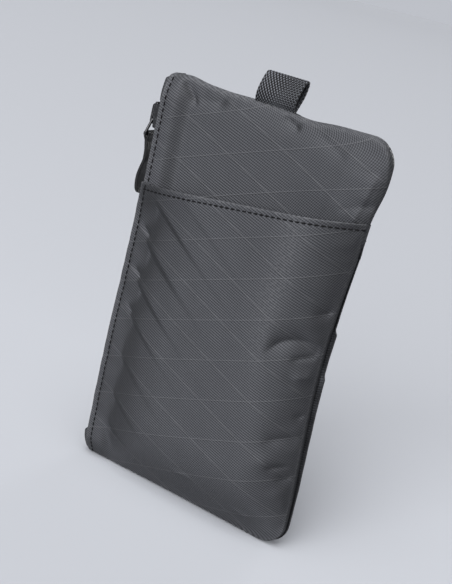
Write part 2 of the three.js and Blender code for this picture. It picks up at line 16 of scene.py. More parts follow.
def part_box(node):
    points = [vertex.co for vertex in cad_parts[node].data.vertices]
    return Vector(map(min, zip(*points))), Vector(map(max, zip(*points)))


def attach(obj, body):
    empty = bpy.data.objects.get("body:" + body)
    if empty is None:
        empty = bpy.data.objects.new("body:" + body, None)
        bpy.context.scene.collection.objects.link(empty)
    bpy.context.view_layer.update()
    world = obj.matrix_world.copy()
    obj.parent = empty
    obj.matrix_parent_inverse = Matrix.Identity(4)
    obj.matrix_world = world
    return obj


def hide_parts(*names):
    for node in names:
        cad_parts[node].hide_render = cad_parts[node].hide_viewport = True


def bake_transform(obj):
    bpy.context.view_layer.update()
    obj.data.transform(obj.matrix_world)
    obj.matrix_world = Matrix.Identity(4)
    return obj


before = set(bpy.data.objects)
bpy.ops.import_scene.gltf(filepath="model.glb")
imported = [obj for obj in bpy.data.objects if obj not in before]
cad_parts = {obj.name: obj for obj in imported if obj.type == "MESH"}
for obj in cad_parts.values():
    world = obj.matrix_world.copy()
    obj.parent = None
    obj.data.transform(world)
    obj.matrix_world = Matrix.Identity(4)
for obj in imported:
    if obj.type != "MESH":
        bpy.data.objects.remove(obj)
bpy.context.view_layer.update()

MM = 0.001
FRONT = -1
BACK = 1


def low(node):
    return np.array(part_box(node)[0]) / MM


def high(node):
    return np.array(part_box(node)[1]) / MM


# Pouch body
BODY_WIDTH = 110.0
BODY_HEIGHT = float(high("front_body_panel")[2])
ZIP_EDGE = float(low("front_body_panel")[0])
CORNER_RADIUS = 12.0
TOP_CORNER_RADIUS = 10.7
ZIP_CORNER_RADIUS = 1.2
ZIP_BOW = 0.9
ZIP_BOW_HEIGHT = 122.0
ZIP_BOW_RUN = 38.0
WAIST = 5.0
SHOULDER = 1.5
SHOULDER_HEIGHT = 168.0
SHOULDER_RUN = 16.0
SIDE_DIP = 1.6
SIDE_DIP_HEIGHT = 158.0
SIDE_DIP_RUN = 11.0
FLAT_HALF = 3.8
TOP_SEAM_HALF = 2.4
SIDE_SEAM_HALF = 1.4
BASE_SEAM_HALF = 1.1
ZIP_HALF = 6.55
ZIP_SHOULDER = 6.0
ZIP_SLOPE = 9.0
SEAM_SLOPE = 20.0
END_SLOPE = 12.0
END_SEAM_FLAT = 4.0
LAYER_STEP = 0.9
EDGE_GAP = 0.3
LINING_GAP = 1.8

# Slip pockets
MOUTH_LEFT = 139.5
MOUTH_RIGHT = 155.0
POCKET_DEPTH = 9.3
POCKET_LEFT_SLOPE = 14.0
CREASE_INSET = 11.6
CREASE_SWING = 4.0
CREASE_FIRST = 134.5
CREASE_PERIOD = 18.8
CREASE_LEAN = 0.68
CREASE_RETURN = 0.16
STRIP_RISE = 1.6
CREASE_SHARP = 0.8
CREASE_UNEVEN = 0.1
CREASE_UNEVEN_RATE = 2.1
CREASE_UNEVEN_PHASE = 1.0
CREASE_LOW_SHARE = 0.35
CREASE_FULL_START = 60.0
CREASE_FULL_RUN = 45.0
MOUTH_EASE = 18.0
MOUTH_SLOPE = 34.0
POCKET_RIGHT_SLOPE = 26.0
SIDE_SWELL = 0.75
CREST_ROUND = 0.45
POCKET_BASE_SLOPE = 24.0
POCKET_EDGE_STEP = 0.4
POCKET_LIP = 0.6
POCKET_BLEND = 0.6
# Painted highlight: a pale band along the crest of the front pocket's right swell, fading towards the base
CREST_HIGHLIGHT = 0.5
CREST_HIGHLIGHT_RUN = 6.0
CREST_HIGHLIGHT_LOW = 60.0
CREST_HIGHLIGHT_RISE = 55.0
BACK_MOUTH = 150.0
BACK_SLACK = 0.8
BACK_SLOPE = 16.0
BACK_BULGE = 1.0
BULGE_TOP_GAP = 1.0
BULGE_TOP_RUN = 7.0
BULGE_START = 30.0
BULGE_RISE = 15.0
BULGE_REACH = 5.0
BULGE_UNEVEN = 0.15
BULGE_LUMP = 9.0
BULGE_SEED = 41.0
BACK_STEPS = ((0, 40, 84, 86, 105, 107, 150), (0.6, 1.6, 2.5, 1.8, 2.2, 0.9, 0.2))
HEM_HEIGHT = 10.0

# Cloth
PLY = 0.35
FOLD_RADIUS = 0.38
ZIP_FLAP = 5.0
BODY_ROLL = 2.3
POCKET_ROLL = 0.5
TUCK = 0.7
TUCK_RUN = 6.0
TUCK_MARGIN = 4.0
TUCK_DEEP = 4.0
TUCK_REACH = 6.0
TUCK_START = 20.0
TUCK_RISE = 25.0
OPEN_RELIEF = 0.9
COVERED_RELIEF = 0.15
SEAM_CALM = 2.5
EDGE_WEAR = 0.8
SEAM_WEAR = 1.5
MOUTH_WEAR = 0.45
CLOTH_STEP = 0.7
FOLD_STEPS = 5
ROLL_STEPS = 8
FLAP_STEPS = 4

# Slackness of the cloth, as the height of its lumps and the width and height of one lump
BROAD_SLACK = (0.4, 34.0, 40.0)
FINE_SLACK = (0.12, 11.0, 13.0)
SIDE_PUCKER = (0.7, 16.0, 5.5)
SIDE_PUCKER_REACH = 9.0
END_PUCKER = (0.45, 6.0, 16.0)
END_PUCKER_REACH = 8.0
ZIP_PUCKER = (0.3, 15.0, 6.0)
ZIP_PUCKER_REACH = 10.0
LINING_SLACK = (0.25, 18.0, 22.0)
BODY_SEEDS = {FRONT: 11.0, BACK: 23.0}
FRONT_POCKET_SEED = 5.0
BACK_POCKET_SEED = 31.0
LINING_SEED = 50.0

# Linings and the turned-in seam
LINING_PLY = 0.2
LINING_INSET = 6.0
LINING_SEAM_GAP = 3.0
LINING_SPAN = (0.05, 0.95)
LINING_COLUMNS = 40
LINING_ROWS = 70
SEAM_STRIP_PLY = 0.5
SEAM_STRIP_INSET = 0.7
SEAM_STRIP_WIDTH = 6.0
SEAM_STRIP_START = -50.0
SEAM_STRIP_ROWS = 6
SEAM_END_STEPS = 60
SEAM_SIDE_STEPS = 80
SEAM_ARC_STEPS = 12

# Stitching
STITCH_PITCH = 2.75
STITCH_LENGTH = 2.3
STITCH_WIDTH = 0.8
STITCH_INSET = 2.2
STITCH_GROOVE = 0.1
GROOVE_HALF = 0.7
STITCH_SEGMENTS = 8
STITCH_RINGS = 6
ROW_POINTS = 160
ROW_TOP_GAP = 2.5
ROW_MOUTH_GAP = 0.8
ROW_FOOT = 1.5

# Diamond grid of reinforcing yarns and the ribs of the weave, in the cloth's own plane
GRID_SPACING = 18.0
GRID_ANGLE = 22.25
GRAIN_TURN = -1.25
GRID_RISING_SHIFT = 15.95
GRID_FALLING_SHIFT = 17.5
RIB_PITCH = 1.08
RIB_ANGLE = -18.0
CROSS_RIB_PITCH = 0.88
CROSS_RIB_ANGLE = 62.0
BODY_BIAS = 0.5
BIAS_START = -20.0
BIAS_RUN = 60.0
YARN_HALF = 0.08
YARN_FADE = 0.4

# Creases, each from one point across and up the panel to another, with how far it spreads above
# and below its line, how high it stands and how far its middle arches up
POCKET_FOLDS = (
    ((44.0, 112.3), (52.5, 116.1), 2.6, 1.3, -0.9, 0.3),
    ((29.0, 92.0), (46.0, 99.1), 3.6, 4.4, -2.2, 3.3),
    ((39.5, 90.6), (47.0, 93.8), 1.0, 1.4, -0.9, 0.2),
    ((42.0, 82.8), (51.5, 86.4), 3.4, 2.6, 1.1, -0.4),
    ((46.5, 64.7), (52.5, 68.0), 1.4, 1.0, -0.8, 0.2),
    ((38.0, 50.8), (50.5, 56.1), 2.6, 3.2, -0.9, 0.6),
    ((42.0, 38.6), (49.5, 41.8), 1.2, 1.2, -0.8, 0.4),
    ((47.0, 34.5), (54.0, 38.5), 2.0, 1.6, -0.8, 0.0),
    ((-49.5, 122.0), (-42.0, 116.8), 1.6, 0.9, -0.7, 0.0),
    ((-49.5, 101.8), (-42.5, 97.2), 1.6, 0.9, -0.7, 0.0),
    ((-48.5, 83.5), (-42.5, 79.4), 1.4, 0.8, -0.5, 0.0),
)
POCKET_DIMPLES = (
    ((40.0, 41.5), 6.5, 4.5, 22.0, 0.8),
    ((49.0, 28.3), 3.5, 2.6, 20.0, 0.5),
    ((1.0, 16.3), 5.0, 1.2, 0.0, 0.35),
    ((33.0, 10.9), 5.0, 1.2, -8.0, 0.35),
)
BODY_FOLDS = (
    ((-46.5, 187.4), (-38.5, 180.4), 3.0, 1.3, -1.6, 0.0),
    ((-38.6, 182.8), (-24.0, 185.0), 2.2, 1.8, -0.8, 0.0),
    ((4.9, 187.4), (12.4, 184.9), 2.0, 1.4, -1.0, 0.0),
    ((20.0, 186.0), (36.0, 178.0), 4.0, 3.0, -0.6, 0.0),
    ((45.5, 150.0), (52.0, 177.0), 14.0, 3.5, 2.2, 0.0),
    ((40.0, 158.0), (52.0, 163.0), 2.4, 1.6, -0.8, 0.0),
)
BACK_FOLDS = (
    ((-49.0, 131.0), (-28.0, 122.0), 5.0, 2.4, -0.9, 0.0),
    ((-50.0, 88.0), (-30.0, 97.0), 4.0, 2.2, -0.7, 0.0),
    ((36.0, 118.0), (51.0, 113.0), 3.0, 1.6, -0.9, 0.0),
    ((38.0, 80.0), (51.0, 84.0), 3.0, 1.8, -0.9, 0.0),
    ((36.0, 42.0), (51.5, 38.0), 3.0, 1.6, -0.9, 0.0),
    ((-34.0, 46.0), (-28.0, 20.0), 4.0, 2.6, -0.6, 0.0),
)
BACK_DIMPLES = (
    ((30.0, 60.0), 9.0, 4.0, -20.0, -0.6),
    ((-20.0, 30.0), 10.0, 4.0, 15.0, -0.5),
)
CREASE_ROUND = 0.4
FOLD_OVERRUN = 0.2
FOLD_FADE = 0.5

# Top hem line: where the seam lifts or sags along the top, as place, half width and height
TOP_WAVES = (
    (-46.0, 7.0, 1.4),
    (-24.0, 7.0, -0.3),
    (15.0, 10.0, -1.4),
    (46.0, 8.0, 0.3),
)
BASE_RISE = 0.3
FOOT_LIFT_RUN = 10.0
BASE_RISE_RUN = 40.0
TOP_WAVE_START = 150.0
TOP_WAVE_RUN = 40.0

# Zip
TAPE_THICKNESS = 0.5
TAPE_X = float(low("zip_tape_front")[0] + TAPE_THICKNESS / 2)
TAPE_Y = float(-low("zip_tape_front")[1] - TAPE_THICKNESS / 2)
TAPE_LEG_END = float(high("zip_tape_front")[0])
TAPE_EDGE_Y = float(-high("zip_tape_front")[1])
TAPE_BEND = 0.7
TAPE_STEP = 3.0
BEND_STEPS = 6
LEG_STEPS = 6
FACE_STEPS = 7
ZIP_START = float(low("zip_tape_front")[2])
ZIP_END = float(high("zip_tape_front")[2])
COIL_PITCH = 2.2
COIL_HALF_WIDTH = 2.3
COIL_PAST_CENTRE = 0.75
COIL_WIRE = 0.66
COIL_PARTING = 1.45
COIL_TURN_STEPS = 14
COIL_WIRE_SIDES = 6
PARTING_DELAY = 1.3
NECK_FROM_TOP = 5.2
TAB_PLY = 0.8
TAB_ROUND = 0.8
TOP_TAB_DRAW_IN = 1.5
TOP_TAB_TAPER = 1.2
BASE_TAB_DRAW_IN = 0.5
TAB_LIP = 0.5
TAB_LIP_STEPS = 4
TAB_CLEARANCE = 0.25
TAB_STEP = 0.8
TAB_ARC_STEPS = 7
TAB_BACK_STEPS = 5

# Slider, wire ring and strap
SLIDER_BEVEL = 0.22
BAIL_BEVEL = 0.25
BEVEL_SEGMENTS = 3
BEVEL_ANGLE = math.radians(40)
FLAT_ANGLE = math.radians(1)
MERGE_DISTANCE = 1e-6
RING_PIVOT = np.array([-59.7, 0, 167.75])
STRAP_EYE = np.array([-60.795, 0, 160.836])
RING_WIRE = 1.3
RING_HEIGHT = 7.0
RING_TOP_HALF = 2.3
RING_BOTTOM_HALF = 4.4
RING_CORNER = 1.1
RING_TILT = math.radians(9)
RING_ARC_STEPS = 10
RING_SIDE_STEPS = 14
RING_SIDES = 12
STRAP_PLY = 0.7
STRAP_HALF = 3.0
STRAP_LENGTH = 28.0
STRAP_SWAY = 1.2
STRAP_NEAREST = -59.2
STRAP_EYE_RADIUS = 0.95
STRAP_NECK = 2.9
STRAP_EYE_LEAN = math.radians(35)
STRAP_EYE_STEPS = 24
STRAP_STEPS = 60
STRAP_COLUMNS = 15
STRAP_FILL = 0.96
STRAP_TIP_LEAST = 0.01

# Hang loop of webbing
LOOP_HALF_WIDTH = 9.5
LOOP_MIDDLE = -1.0
LOOP_TOP = float(high("top_loop")[2])
LOOP_FOOT = float(low("loop_tail")[2])
LOOP_WEBBING = 1.1
LOOP_TAIL_Y = 0.75
LOOP_SKEW = 2.4
LOOP_ROOM_EASE = 3.0
LOOP_ROOM_REACH = 6.0
LOOP_SPAN_STEPS = 24
SELVEDGE = 0.6
WEAVE_ACROSS = 0.72
WEAVE_ALONG = 0.92
WEAVE_STEP = 0.2
WEAVE_HEIGHT = 0.12

# Camera, as azimuth, elevation and roll round a point on the pouch
CAMERA_AZIMUTH = 26.57
CAMERA_ELEVATION = 17.47
CAMERA_ROLL = 14.06
CAMERA_DISTANCE = 450.1
CAMERA_TARGET = (-1.22, -5.0, 106.0)
CAMERA_LENS = 62.7
CAMERA_CLIP = 0.01

# Floor and backdrop, with distances in metres
FLOOR_REACH = 40.0
FLOOR_COLOUR = (0.508, 0.525, 0.565)
BACKDROP = (0.513, 0.531, 0.576)
# The floor's colour darkens towards the back and far out, a painted shade in place of the light falling off over
# the floor
FAR_FLOOR_SHADE = 0.79
FLOOR_NEAR = 2.0
FLOOR_FALL_START = 0.1
FLOOR_FALL_SCALE = 0.1
FLOOR_FALL_SPAN = 5.0
FLOOR_BOUNCE = (0.2, 0.205, 0.215)

# Lamps, as turn from the front, rise above the floor and spread in degrees, and the light from all round
FILL = (0.14, 0.14, 0.145)
KEY_TURN = 0.0
KEY_RISE = 21.0
KEY_ENERGY = 2.78
KEY_SPREAD = 50.0
OVERHEAD_RISE = 70.0
OVERHEAD_ENERGY = 2.5
OVERHEAD_SPREAD = 50.0
BACK_TURN = 180.0
BACK_RISE = 6.0
BACK_ENERGY = 1.3
BACK_SPREAD = 20.0


# Curve shapes on arrays

def ease(t):
    s = np.clip(t, 0, 1)
    return s * (1.5 - 0.5 * s * s)


def ramp(t, rounding):
    """A straight rise from 0 that rounds over to 1."""
    over = np.clip(1 + rounding - t, 0, 2 * rounding)
    return np.where(t < 1 - rounding, np.maximum(t, 0), 1 - over * over / (4 * rounding))


def smooth(t):
    s = np.clip(t, 0, 1)
    return s * s * (3 - 2 * s)


def mix(a, b, t):
    return a + (b - a) * t


def bell(t):
    return np.exp(-t * t)


def from_end(z):
    return np.minimum(z, BODY_HEIGHT - z)


def corner_inset(radius, rise):
    short = np.clip(radius - rise, 0, radius)
    return radius - np.sqrt(radius * radius - short * short)


def rumple(x, z, width, height, seed):
    """Soft unevenness between about -1 and 1, with lumps of the given width and height."""
    places = zip(np.ravel(x) / width, np.ravel(z) / height)
    return np.array([noise.noise((a, b, seed)) for a, b in places]).reshape(np.shape(x))


# Outline and thickness of the pouch

def zip_edge(z):
    bow = ZIP_BOW * bell((z - ZIP_BOW_HEIGHT) / ZIP_BOW_RUN)
    return ZIP_EDGE + bow + corner_inset(ZIP_CORNER_RADIUS, from_end(z))


def seam_line(z):
    shoulder = SHOULDER * bell((z - SHOULDER_HEIGHT) / SHOULDER_RUN)
    dip = SIDE_DIP * bell((z - SIDE_DIP_HEIGHT) / SIDE_DIP_RUN)
    return BODY_WIDTH / 2 + shoulder - dip - WAIST * np.sin(np.pi * z / BODY_HEIGHT) ** 2


def corner_radius(z):
    return np.where(z > BODY_HEIGHT / 2, TOP_CORNER_RADIUS, CORNER_RADIUS)


def seam_edge(z):
    return seam_line(z) - corner_inset(corner_radius(z), from_end(z))


def seam_distance(x, z):
    """How far a point lies inside the seam round the top, the right side and the bottom."""
    radius = corner_radius(z)
    across = x - (seam_line(z) - radius)
    along = radius - from_end(z)
    outside = np.hypot(np.maximum(across, 0), np.maximum(along, 0))
    return radius - outside - np.minimum(np.maximum(across, along), 0)


def seam_half(z):
    end = np.where(z > BODY_HEIGHT / 2, TOP_SEAM_HALF, BASE_SEAM_HALF)
    return mix(end, SIDE_SEAM_HALF, smooth((from_end(z) - END_SEAM_FLAT) / CORNER_RADIUS))


def body_half(x, z):
    edge = seam_half(z)
    zip_rise = (ZIP_HALF - FLAT_HALF) * (1 - smooth((x - zip_edge(z) - ZIP_SHOULDER) / ZIP_SLOPE))
    seam_fall = (FLAT_HALF - edge) * (1 - ease((seam_edge(z) - x) / SEAM_SLOPE))
    end = np.sin(np.clip(from_end(z) / END_SLOPE, 0, 1) * np.pi / 2)
    return edge + (FLAT_HALF + zip_rise - seam_fall - edge) * end


def front_mouth(u):
    return mix(MOUTH_LEFT, MOUTH_RIGHT, u)


def back_mouth(u):
    return BACK_MOUTH + 0 * u


def crease_line(x, z):
    """How far from the zip edge the pocket starts to swell.

    The flat strip along the zip has an edge that steps at each slanting crease, less so near the base.
    """
    cell = (CREASE_FIRST - z - CREASE_LEAN * (x - ZIP_EDGE - CREASE_INSET)) / CREASE_PERIOD
    cell = cell + CREASE_UNEVEN * np.sin(CREASE_UNEVEN_RATE * cell + CREASE_UNEVEN_PHASE)
    phase = cell - np.floor(cell)
    swing = np.minimum(smooth(phase / CREASE_RETURN), (1 - phase) / (1 - CREASE_RETURN))
    share = mix(CREASE_LOW_SHARE, 1.0, smooth((z - CREASE_FULL_START) / CREASE_FULL_RUN))
    return CREASE_INSET + CREASE_SWING * (swing - 0.5) * share


def larger(a, b, rounding):
    return (a + b + np.hypot(a - b, rounding)) / 2


def front_pocket_half(x, z):
    """Half thickness over the filled front pocket: it swells from the zip side and falls to the seam."""
    edge = seam_half(z)
    from_zip = x - zip_edge(z)
    past = larger(from_zip - crease_line(x, z), 0, CREASE_SHARP)
    strip = ZIP_HALF + STRIP_RISE * np.clip(from_zip / CREASE_INSET, 0, 1)
    creased = 1 - np.exp(-past / POCKET_LEFT_SLOPE)
    near_mouth = smooth((z - front_mouth(from_zip / BODY_WIDTH) + MOUTH_EASE) / MOUTH_EASE)
    swell = mix(strip, FLAT_HALF + POCKET_DEPTH, mix(creased, ease(from_zip / MOUTH_SLOPE), near_mouth))
    side = ease((seam_edge(z) - POCKET_LIP - x) / POCKET_RIGHT_SLOPE) ** SIDE_SWELL
    base = ramp((z - POCKET_LIP) / POCKET_BASE_SLOPE, CREST_ROUND)
    return larger(edge + (swell - edge) * side * base, body_half(x, z), POCKET_BLEND) + LAYER_STEP


def back_pocket_half(x, z):
    """Half thickness over the slack back pocket, which follows the body."""
    side = ease((x - zip_edge(z)) / BACK_SLOPE) * ease((seam_edge(z) - x) / BACK_SLOPE)
    return body_half(x, z) + BACK_SLACK * side * ease(z / BACK_SLOPE) + LAYER_STEP


def round_edge(half, distance, roll):
    """Half thickness that turns in to the seam over the last few millimetres."""
    short = 1 - np.clip(distance / roll, 0, 1)
    return EDGE_GAP + (half - EDGE_GAP) * np.sqrt(1 - short * short)


# Folds, puckers and slackness of the cloth

def fold_height(x, z, folds):
    total = np.zeros(np.shape(x))
    for (x0, z0), (x1, z1), above, below, height, arch in folds:
        length = math.hypot(x1 - x0, z1 - z0)
        ux, uz = (x1 - x0) / length, (z1 - z0) / length
        along = ((x - x0) * ux + (z - z0) * uz) / length
        across = (z - z0) * ux - (x - x0) * uz - arch * (1 - (2 * along - 1) ** 2)
        spread = np.where(across > 0, above, below)
        fade = smooth((np.minimum(along, 1 - along) + FOLD_OVERRUN) / FOLD_FADE)
        total += height * fade * np.exp((CREASE_ROUND - np.hypot(across, CREASE_ROUND)) / spread)
    return total


def dimple_height(x, z, dimples):
    total = np.zeros(np.shape(x))
    for (x0, z0), length, width, angle, height in dimples:
        turn = math.radians(angle)
        along = (x - x0) * math.cos(turn) + (z - z0) * math.sin(turn)
        across = (z - z0) * math.cos(turn) - (x - x0) * math.sin(turn)
        total += height * bell(np.hypot(along / length, across / width))
    return total


def lumps(x, z, size, seed):
    height, width, rise = size
    return height * rumple(x, z, width, rise, seed)


def slackness(x, z, seed):
    """Broad unevenness all over, with short puckers that run in from the seams."""
    broad = lumps(x, z, BROAD_SLACK, seed) + lumps(x, z, FINE_SLACK, seed + 1)
    side = bell((seam_edge(z) - x) / SIDE_PUCKER_REACH) * lumps(x, z, SIDE_PUCKER, seed + 2)
    ends = bell(from_end(z) / END_PUCKER_REACH) * lumps(x, z, END_PUCKER, seed + 3)
    zip_side = bell((x - zip_edge(z)) / ZIP_PUCKER_REACH) * lumps(x, z, ZIP_PUCKER, seed + 4)
    return broad + side + ends + zip_side


def settle(x, z):
    """Height after the seams have settled: the top edge waves and the base bows up a little."""
    top = sum(height * bell((x - place) / width) for place, width, height in TOP_WAVES)
    base = BASE_RISE * np.cos(np.pi * np.clip(x / BODY_WIDTH, -0.5, 0.5)) ** 2
    lift = PLY * (1 - smooth(z / FOOT_LIFT_RUN))
    waves = top * smooth((z - TOP_WAVE_START) / TOP_WAVE_RUN) ** 2
    return z + waves + base * (1 - smooth(z / BASE_RISE_RUN)) + lift


def stitch_groove(x, z, mouth=None):
    groove = bell((x - zip_edge(z) - STITCH_INSET) / GROOVE_HALF)
    if mouth is not None:
        u = np.clip((x - ZIP_EDGE) / BODY_WIDTH, 0, 1)
        groove = np.maximum(groove, bell((z - mouth(u) + STITCH_INSET) / GROOVE_HALF))
    return -STITCH_GROOVE * groove


# Surfaces of the four panels, as points for places across and up

def body_surface(side, x, z, under=0.0):
    distance = seam_distance(x, z)
    mouth = front_mouth(0.5) if side == FRONT else BACK_MOUTH
    covered = smooth((mouth - TUCK_MARGIN - z) / TUCK_RUN)
    roll = np.minimum(BODY_ROLL, seam_half(z) - EDGE_GAP)
    half = round_edge(body_half(x, z), distance, roll)
    beside_loop = smooth((LOOP_HALF_WIDTH + LOOP_ROOM_EASE - np.abs(x - LOOP_MIDDLE)) / LOOP_ROOM_EASE)
    loop_room = LOOP_WEBBING * beside_loop * bell((BODY_HEIGHT - z) / LOOP_ROOM_REACH)
    calm = mix(OPEN_RELIEF, COVERED_RELIEF, covered) * smooth(distance / SEAM_CALM)
    relief = slackness(x, z, BODY_SEEDS[side]) + fold_height(x, z, BODY_FOLDS)
    relief = relief * calm + stitch_groove(x, z)
    tucked = TUCK * covered * bell(distance / TUCK_DEEP)
    y = np.maximum(half, loop_room + EDGE_GAP) + relief - tucked - under
    inset = TUCK * covered * smooth((x - TUCK_START) / TUCK_RISE) * bell(distance / TUCK_REACH)
    up = settle(x, z) + TUCK * covered * bell(z / TUCK_REACH)
    return np.stack([x - inset, side * y, up], axis=-1)


def front_pocket_surface(x, z, under=0.0):
    distance = seam_distance(x, z)
    relief = slackness(x, z, FRONT_POCKET_SEED)
    relief += fold_height(x, z, POCKET_FOLDS) + dimple_height(x, z, POCKET_DIMPLES)
    relief = relief * smooth((distance - POCKET_LIP) / SEAM_CALM) + stitch_groove(x, z, front_mouth)
    y = round_edge(front_pocket_half(x, z), distance, POCKET_ROLL) + relief - under
    return np.stack([x, -y, settle(x, z)], axis=-1)


def back_pocket_surface(x, z, under=0.0):
    distance = seam_distance(x, z)
    relief = slackness(x, z, BACK_POCKET_SEED)
    relief += fold_height(x, z, BACK_FOLDS) + dimple_height(x, z, BACK_DIMPLES)
    relief = relief * smooth(distance / SEAM_CALM) + stitch_groove(x, z, back_mouth)
    half = back_pocket_half(np.maximum(x, zip_edge(z)), z)
    y = round_edge(half, distance, BODY_ROLL) + relief - under
    waves = np.interp(z, *BACK_STEPS) + BULGE_UNEVEN * rumple(0 * x, z, 1, BULGE_LUMP, BULGE_SEED)
    below_mouth = smooth((BACK_MOUTH - BULGE_TOP_GAP - z) / BULGE_TOP_RUN)
    near_seam = smooth((x - BULGE_START) / BULGE_RISE) * bell(distance / BULGE_REACH)
    bulge = BACK_BULGE * waves * below_mouth * near_seam
    return np.stack([x + bulge, y, settle(x, z)], axis=-1)


# Meshes

def mesh_object(name, points, faces, edges=()):
    mesh = bpy.data.meshes.new(name)
    mesh.from_pydata((np.asarray(points, float).reshape(-1, 3) * MM).tolist(), edges, faces)
    mesh.update()
    piece = bpy.data.objects.new(name, mesh)
    bpy.context.scene.collection.objects.link(piece)
    mesh.shade_smooth()
    return piece


def grid_faces(rows, columns, flip):
    r, c = np.meshgrid(np.arange(rows - 1), np.arange(columns - 1), indexing="ij")
    a = r * columns + c
    ring = np.stack([a, a + 1, a + columns + 1, a + columns], axis=-1).reshape(-1, 4)
    return (ring[:, ::-1] if flip else ring).tolist()


def run_length(points, axis):
    step = np.linalg.norm(np.diff(points, axis=axis), axis=-1)
    start = np.zeros_like(np.take(step, [0], axis=axis))
    return np.concatenate([start, np.cumsum(step, axis=axis)], axis=axis)


def cloth_uv(piece, points, mirror, middle):
    """A UV map in metres of cloth, measured along the surface.

    A panel, which has a middle column, has one measure across for all its height.
    """
    if middle is None:
        u = mirror * run_length(points, 1)
        v = run_length(points, 0)
    else:
        across = run_length(points, 1).mean(axis=0, keepdims=True)
        u = mirror * (across - across[:, [middle]] + points[:, middle, 0].mean()) + 0 * points[..., 0]
        v = points[..., 2]
    layer = piece.data.uv_layers.new(name="cloth")
    vertex = np.empty(len(piece.data.loops), int)
    piece.data.loops.foreach_get("vertex_index", vertex)
    pairs = np.stack([u.ravel()[vertex], v.ravel()[vertex]], axis=1) * MM
    layer.data.foreach_set("uv", pairs.astype(np.float32).ravel())


def point_value(piece, name, values):
    layer = piece.data.attributes.new(name, "FLOAT", "POINT")
    layer.data.foreach_set("value", np.asarray(values, np.float32).ravel())


def thicken(piece, thickness, offset):
    solid = piece.modifiers.new("cloth thickness", "SOLIDIFY")
    solid.thickness = thickness * MM
    solid.offset = offset
    return piece


def lay_cloth(name, points, flip, thickness=PLY, offset=-1, middle=None):
    rows, columns, _ = points.shape
    piece = mesh_object(name, points, grid_faces(rows, columns, flip))
    cloth_uv(piece, points, -1 if flip else 1, middle)
    return thicken(piece, thickness, offset)


def steps(start, end, size):
    count = max(2, int(round(abs(end - start) / size)))
    return np.linspace(start, end, count + 1)


def roll_steps(radius):
    return radius * (1 - np.cos(np.linspace(0, np.pi / 2, ROLL_STEPS + 1)))


def fold_turn():
    angle = np.linspace(0, np.pi, FOLD_STEPS + 2)[1:-1]
    return FOLD_RADIUS * np.sin(angle), FOLD_RADIUS * (1 - np.cos(angle))


# Sewn panels

def panel_columns(roll):
    """Columns across a panel: the flap under the zip edge, its fold, the face, and the rolled seam.

    Each has a place across from 0 to 1, a reach outwards past the edge and a depth under the face.
    """
    turn_reach, turn_depth = fold_turn()
    flap = steps(ZIP_FLAP, 0, ZIP_FLAP / FLAP_STEPS) / BODY_WIDTH
    face = steps(0, BODY_WIDTH - roll, CLOTH_STEP)
    seam = BODY_WIDTH - roll_steps(roll)[:-1][::-1]
    place = np.concatenate([flap, np.zeros(len(turn_reach)), face / BODY_WIDTH, seam / BODY_WIDTH])
    fold = slice(len(flap), len(flap) + len(turn_reach))
    reach = np.zeros(len(place))
    depth = np.zeros(len(place))
    reach[fold] = turn_reach
    depth[:len(flap)] = 2 * FOLD_RADIUS
    depth[fold] = turn_depth[::-1]
    return place, reach, depth


def finish_panel(name, points, side, wear_and_highlight, bias):
    piece = lay_cloth(name, points, side > 0, middle=points.shape[1] // 2)
    point_value(piece, "wear_and_highlight", wear_and_highlight)
    point_value(piece, "bias", bias)
    facing = np.cross(np.gradient(points, axis=1), np.gradient(points, axis=0))
    facing *= np.sign(side * facing[..., 1:2]) / (np.linalg.norm(facing, axis=2, keepdims=True) + 1e-9)
    # The facing drives the shell's painted shade and which set of ribs shows
    point_value(piece, "turn", facing[..., 0])
    point_value(piece, "tilt", facing[..., 2])
    return piece


def body_panel(name, side):
    place, reach, depth = panel_columns(BODY_ROLL)
    rolled = roll_steps(BODY_ROLL)
    middle = steps(BODY_ROLL, BODY_HEIGHT - BODY_ROLL, CLOTH_STEP)[1:-1]
    rows = np.concatenate([rolled, middle, BODY_HEIGHT - rolled[::-1]])
    u, z = np.meshgrid(place, rows)
    x = mix(zip_edge(z), seam_edge(z), u)
    points = body_surface(side, x, z, depth)
    points[..., 0] -= reach
    wear_and_highlight = np.maximum(bell((x - zip_edge(z)) / EDGE_WEAR), bell(seam_distance(x, z) / SEAM_WEAR))
    return finish_panel(name, points, side, wear_and_highlight, BODY_BIAS * smooth((x - BIAS_START) / BIAS_RUN))


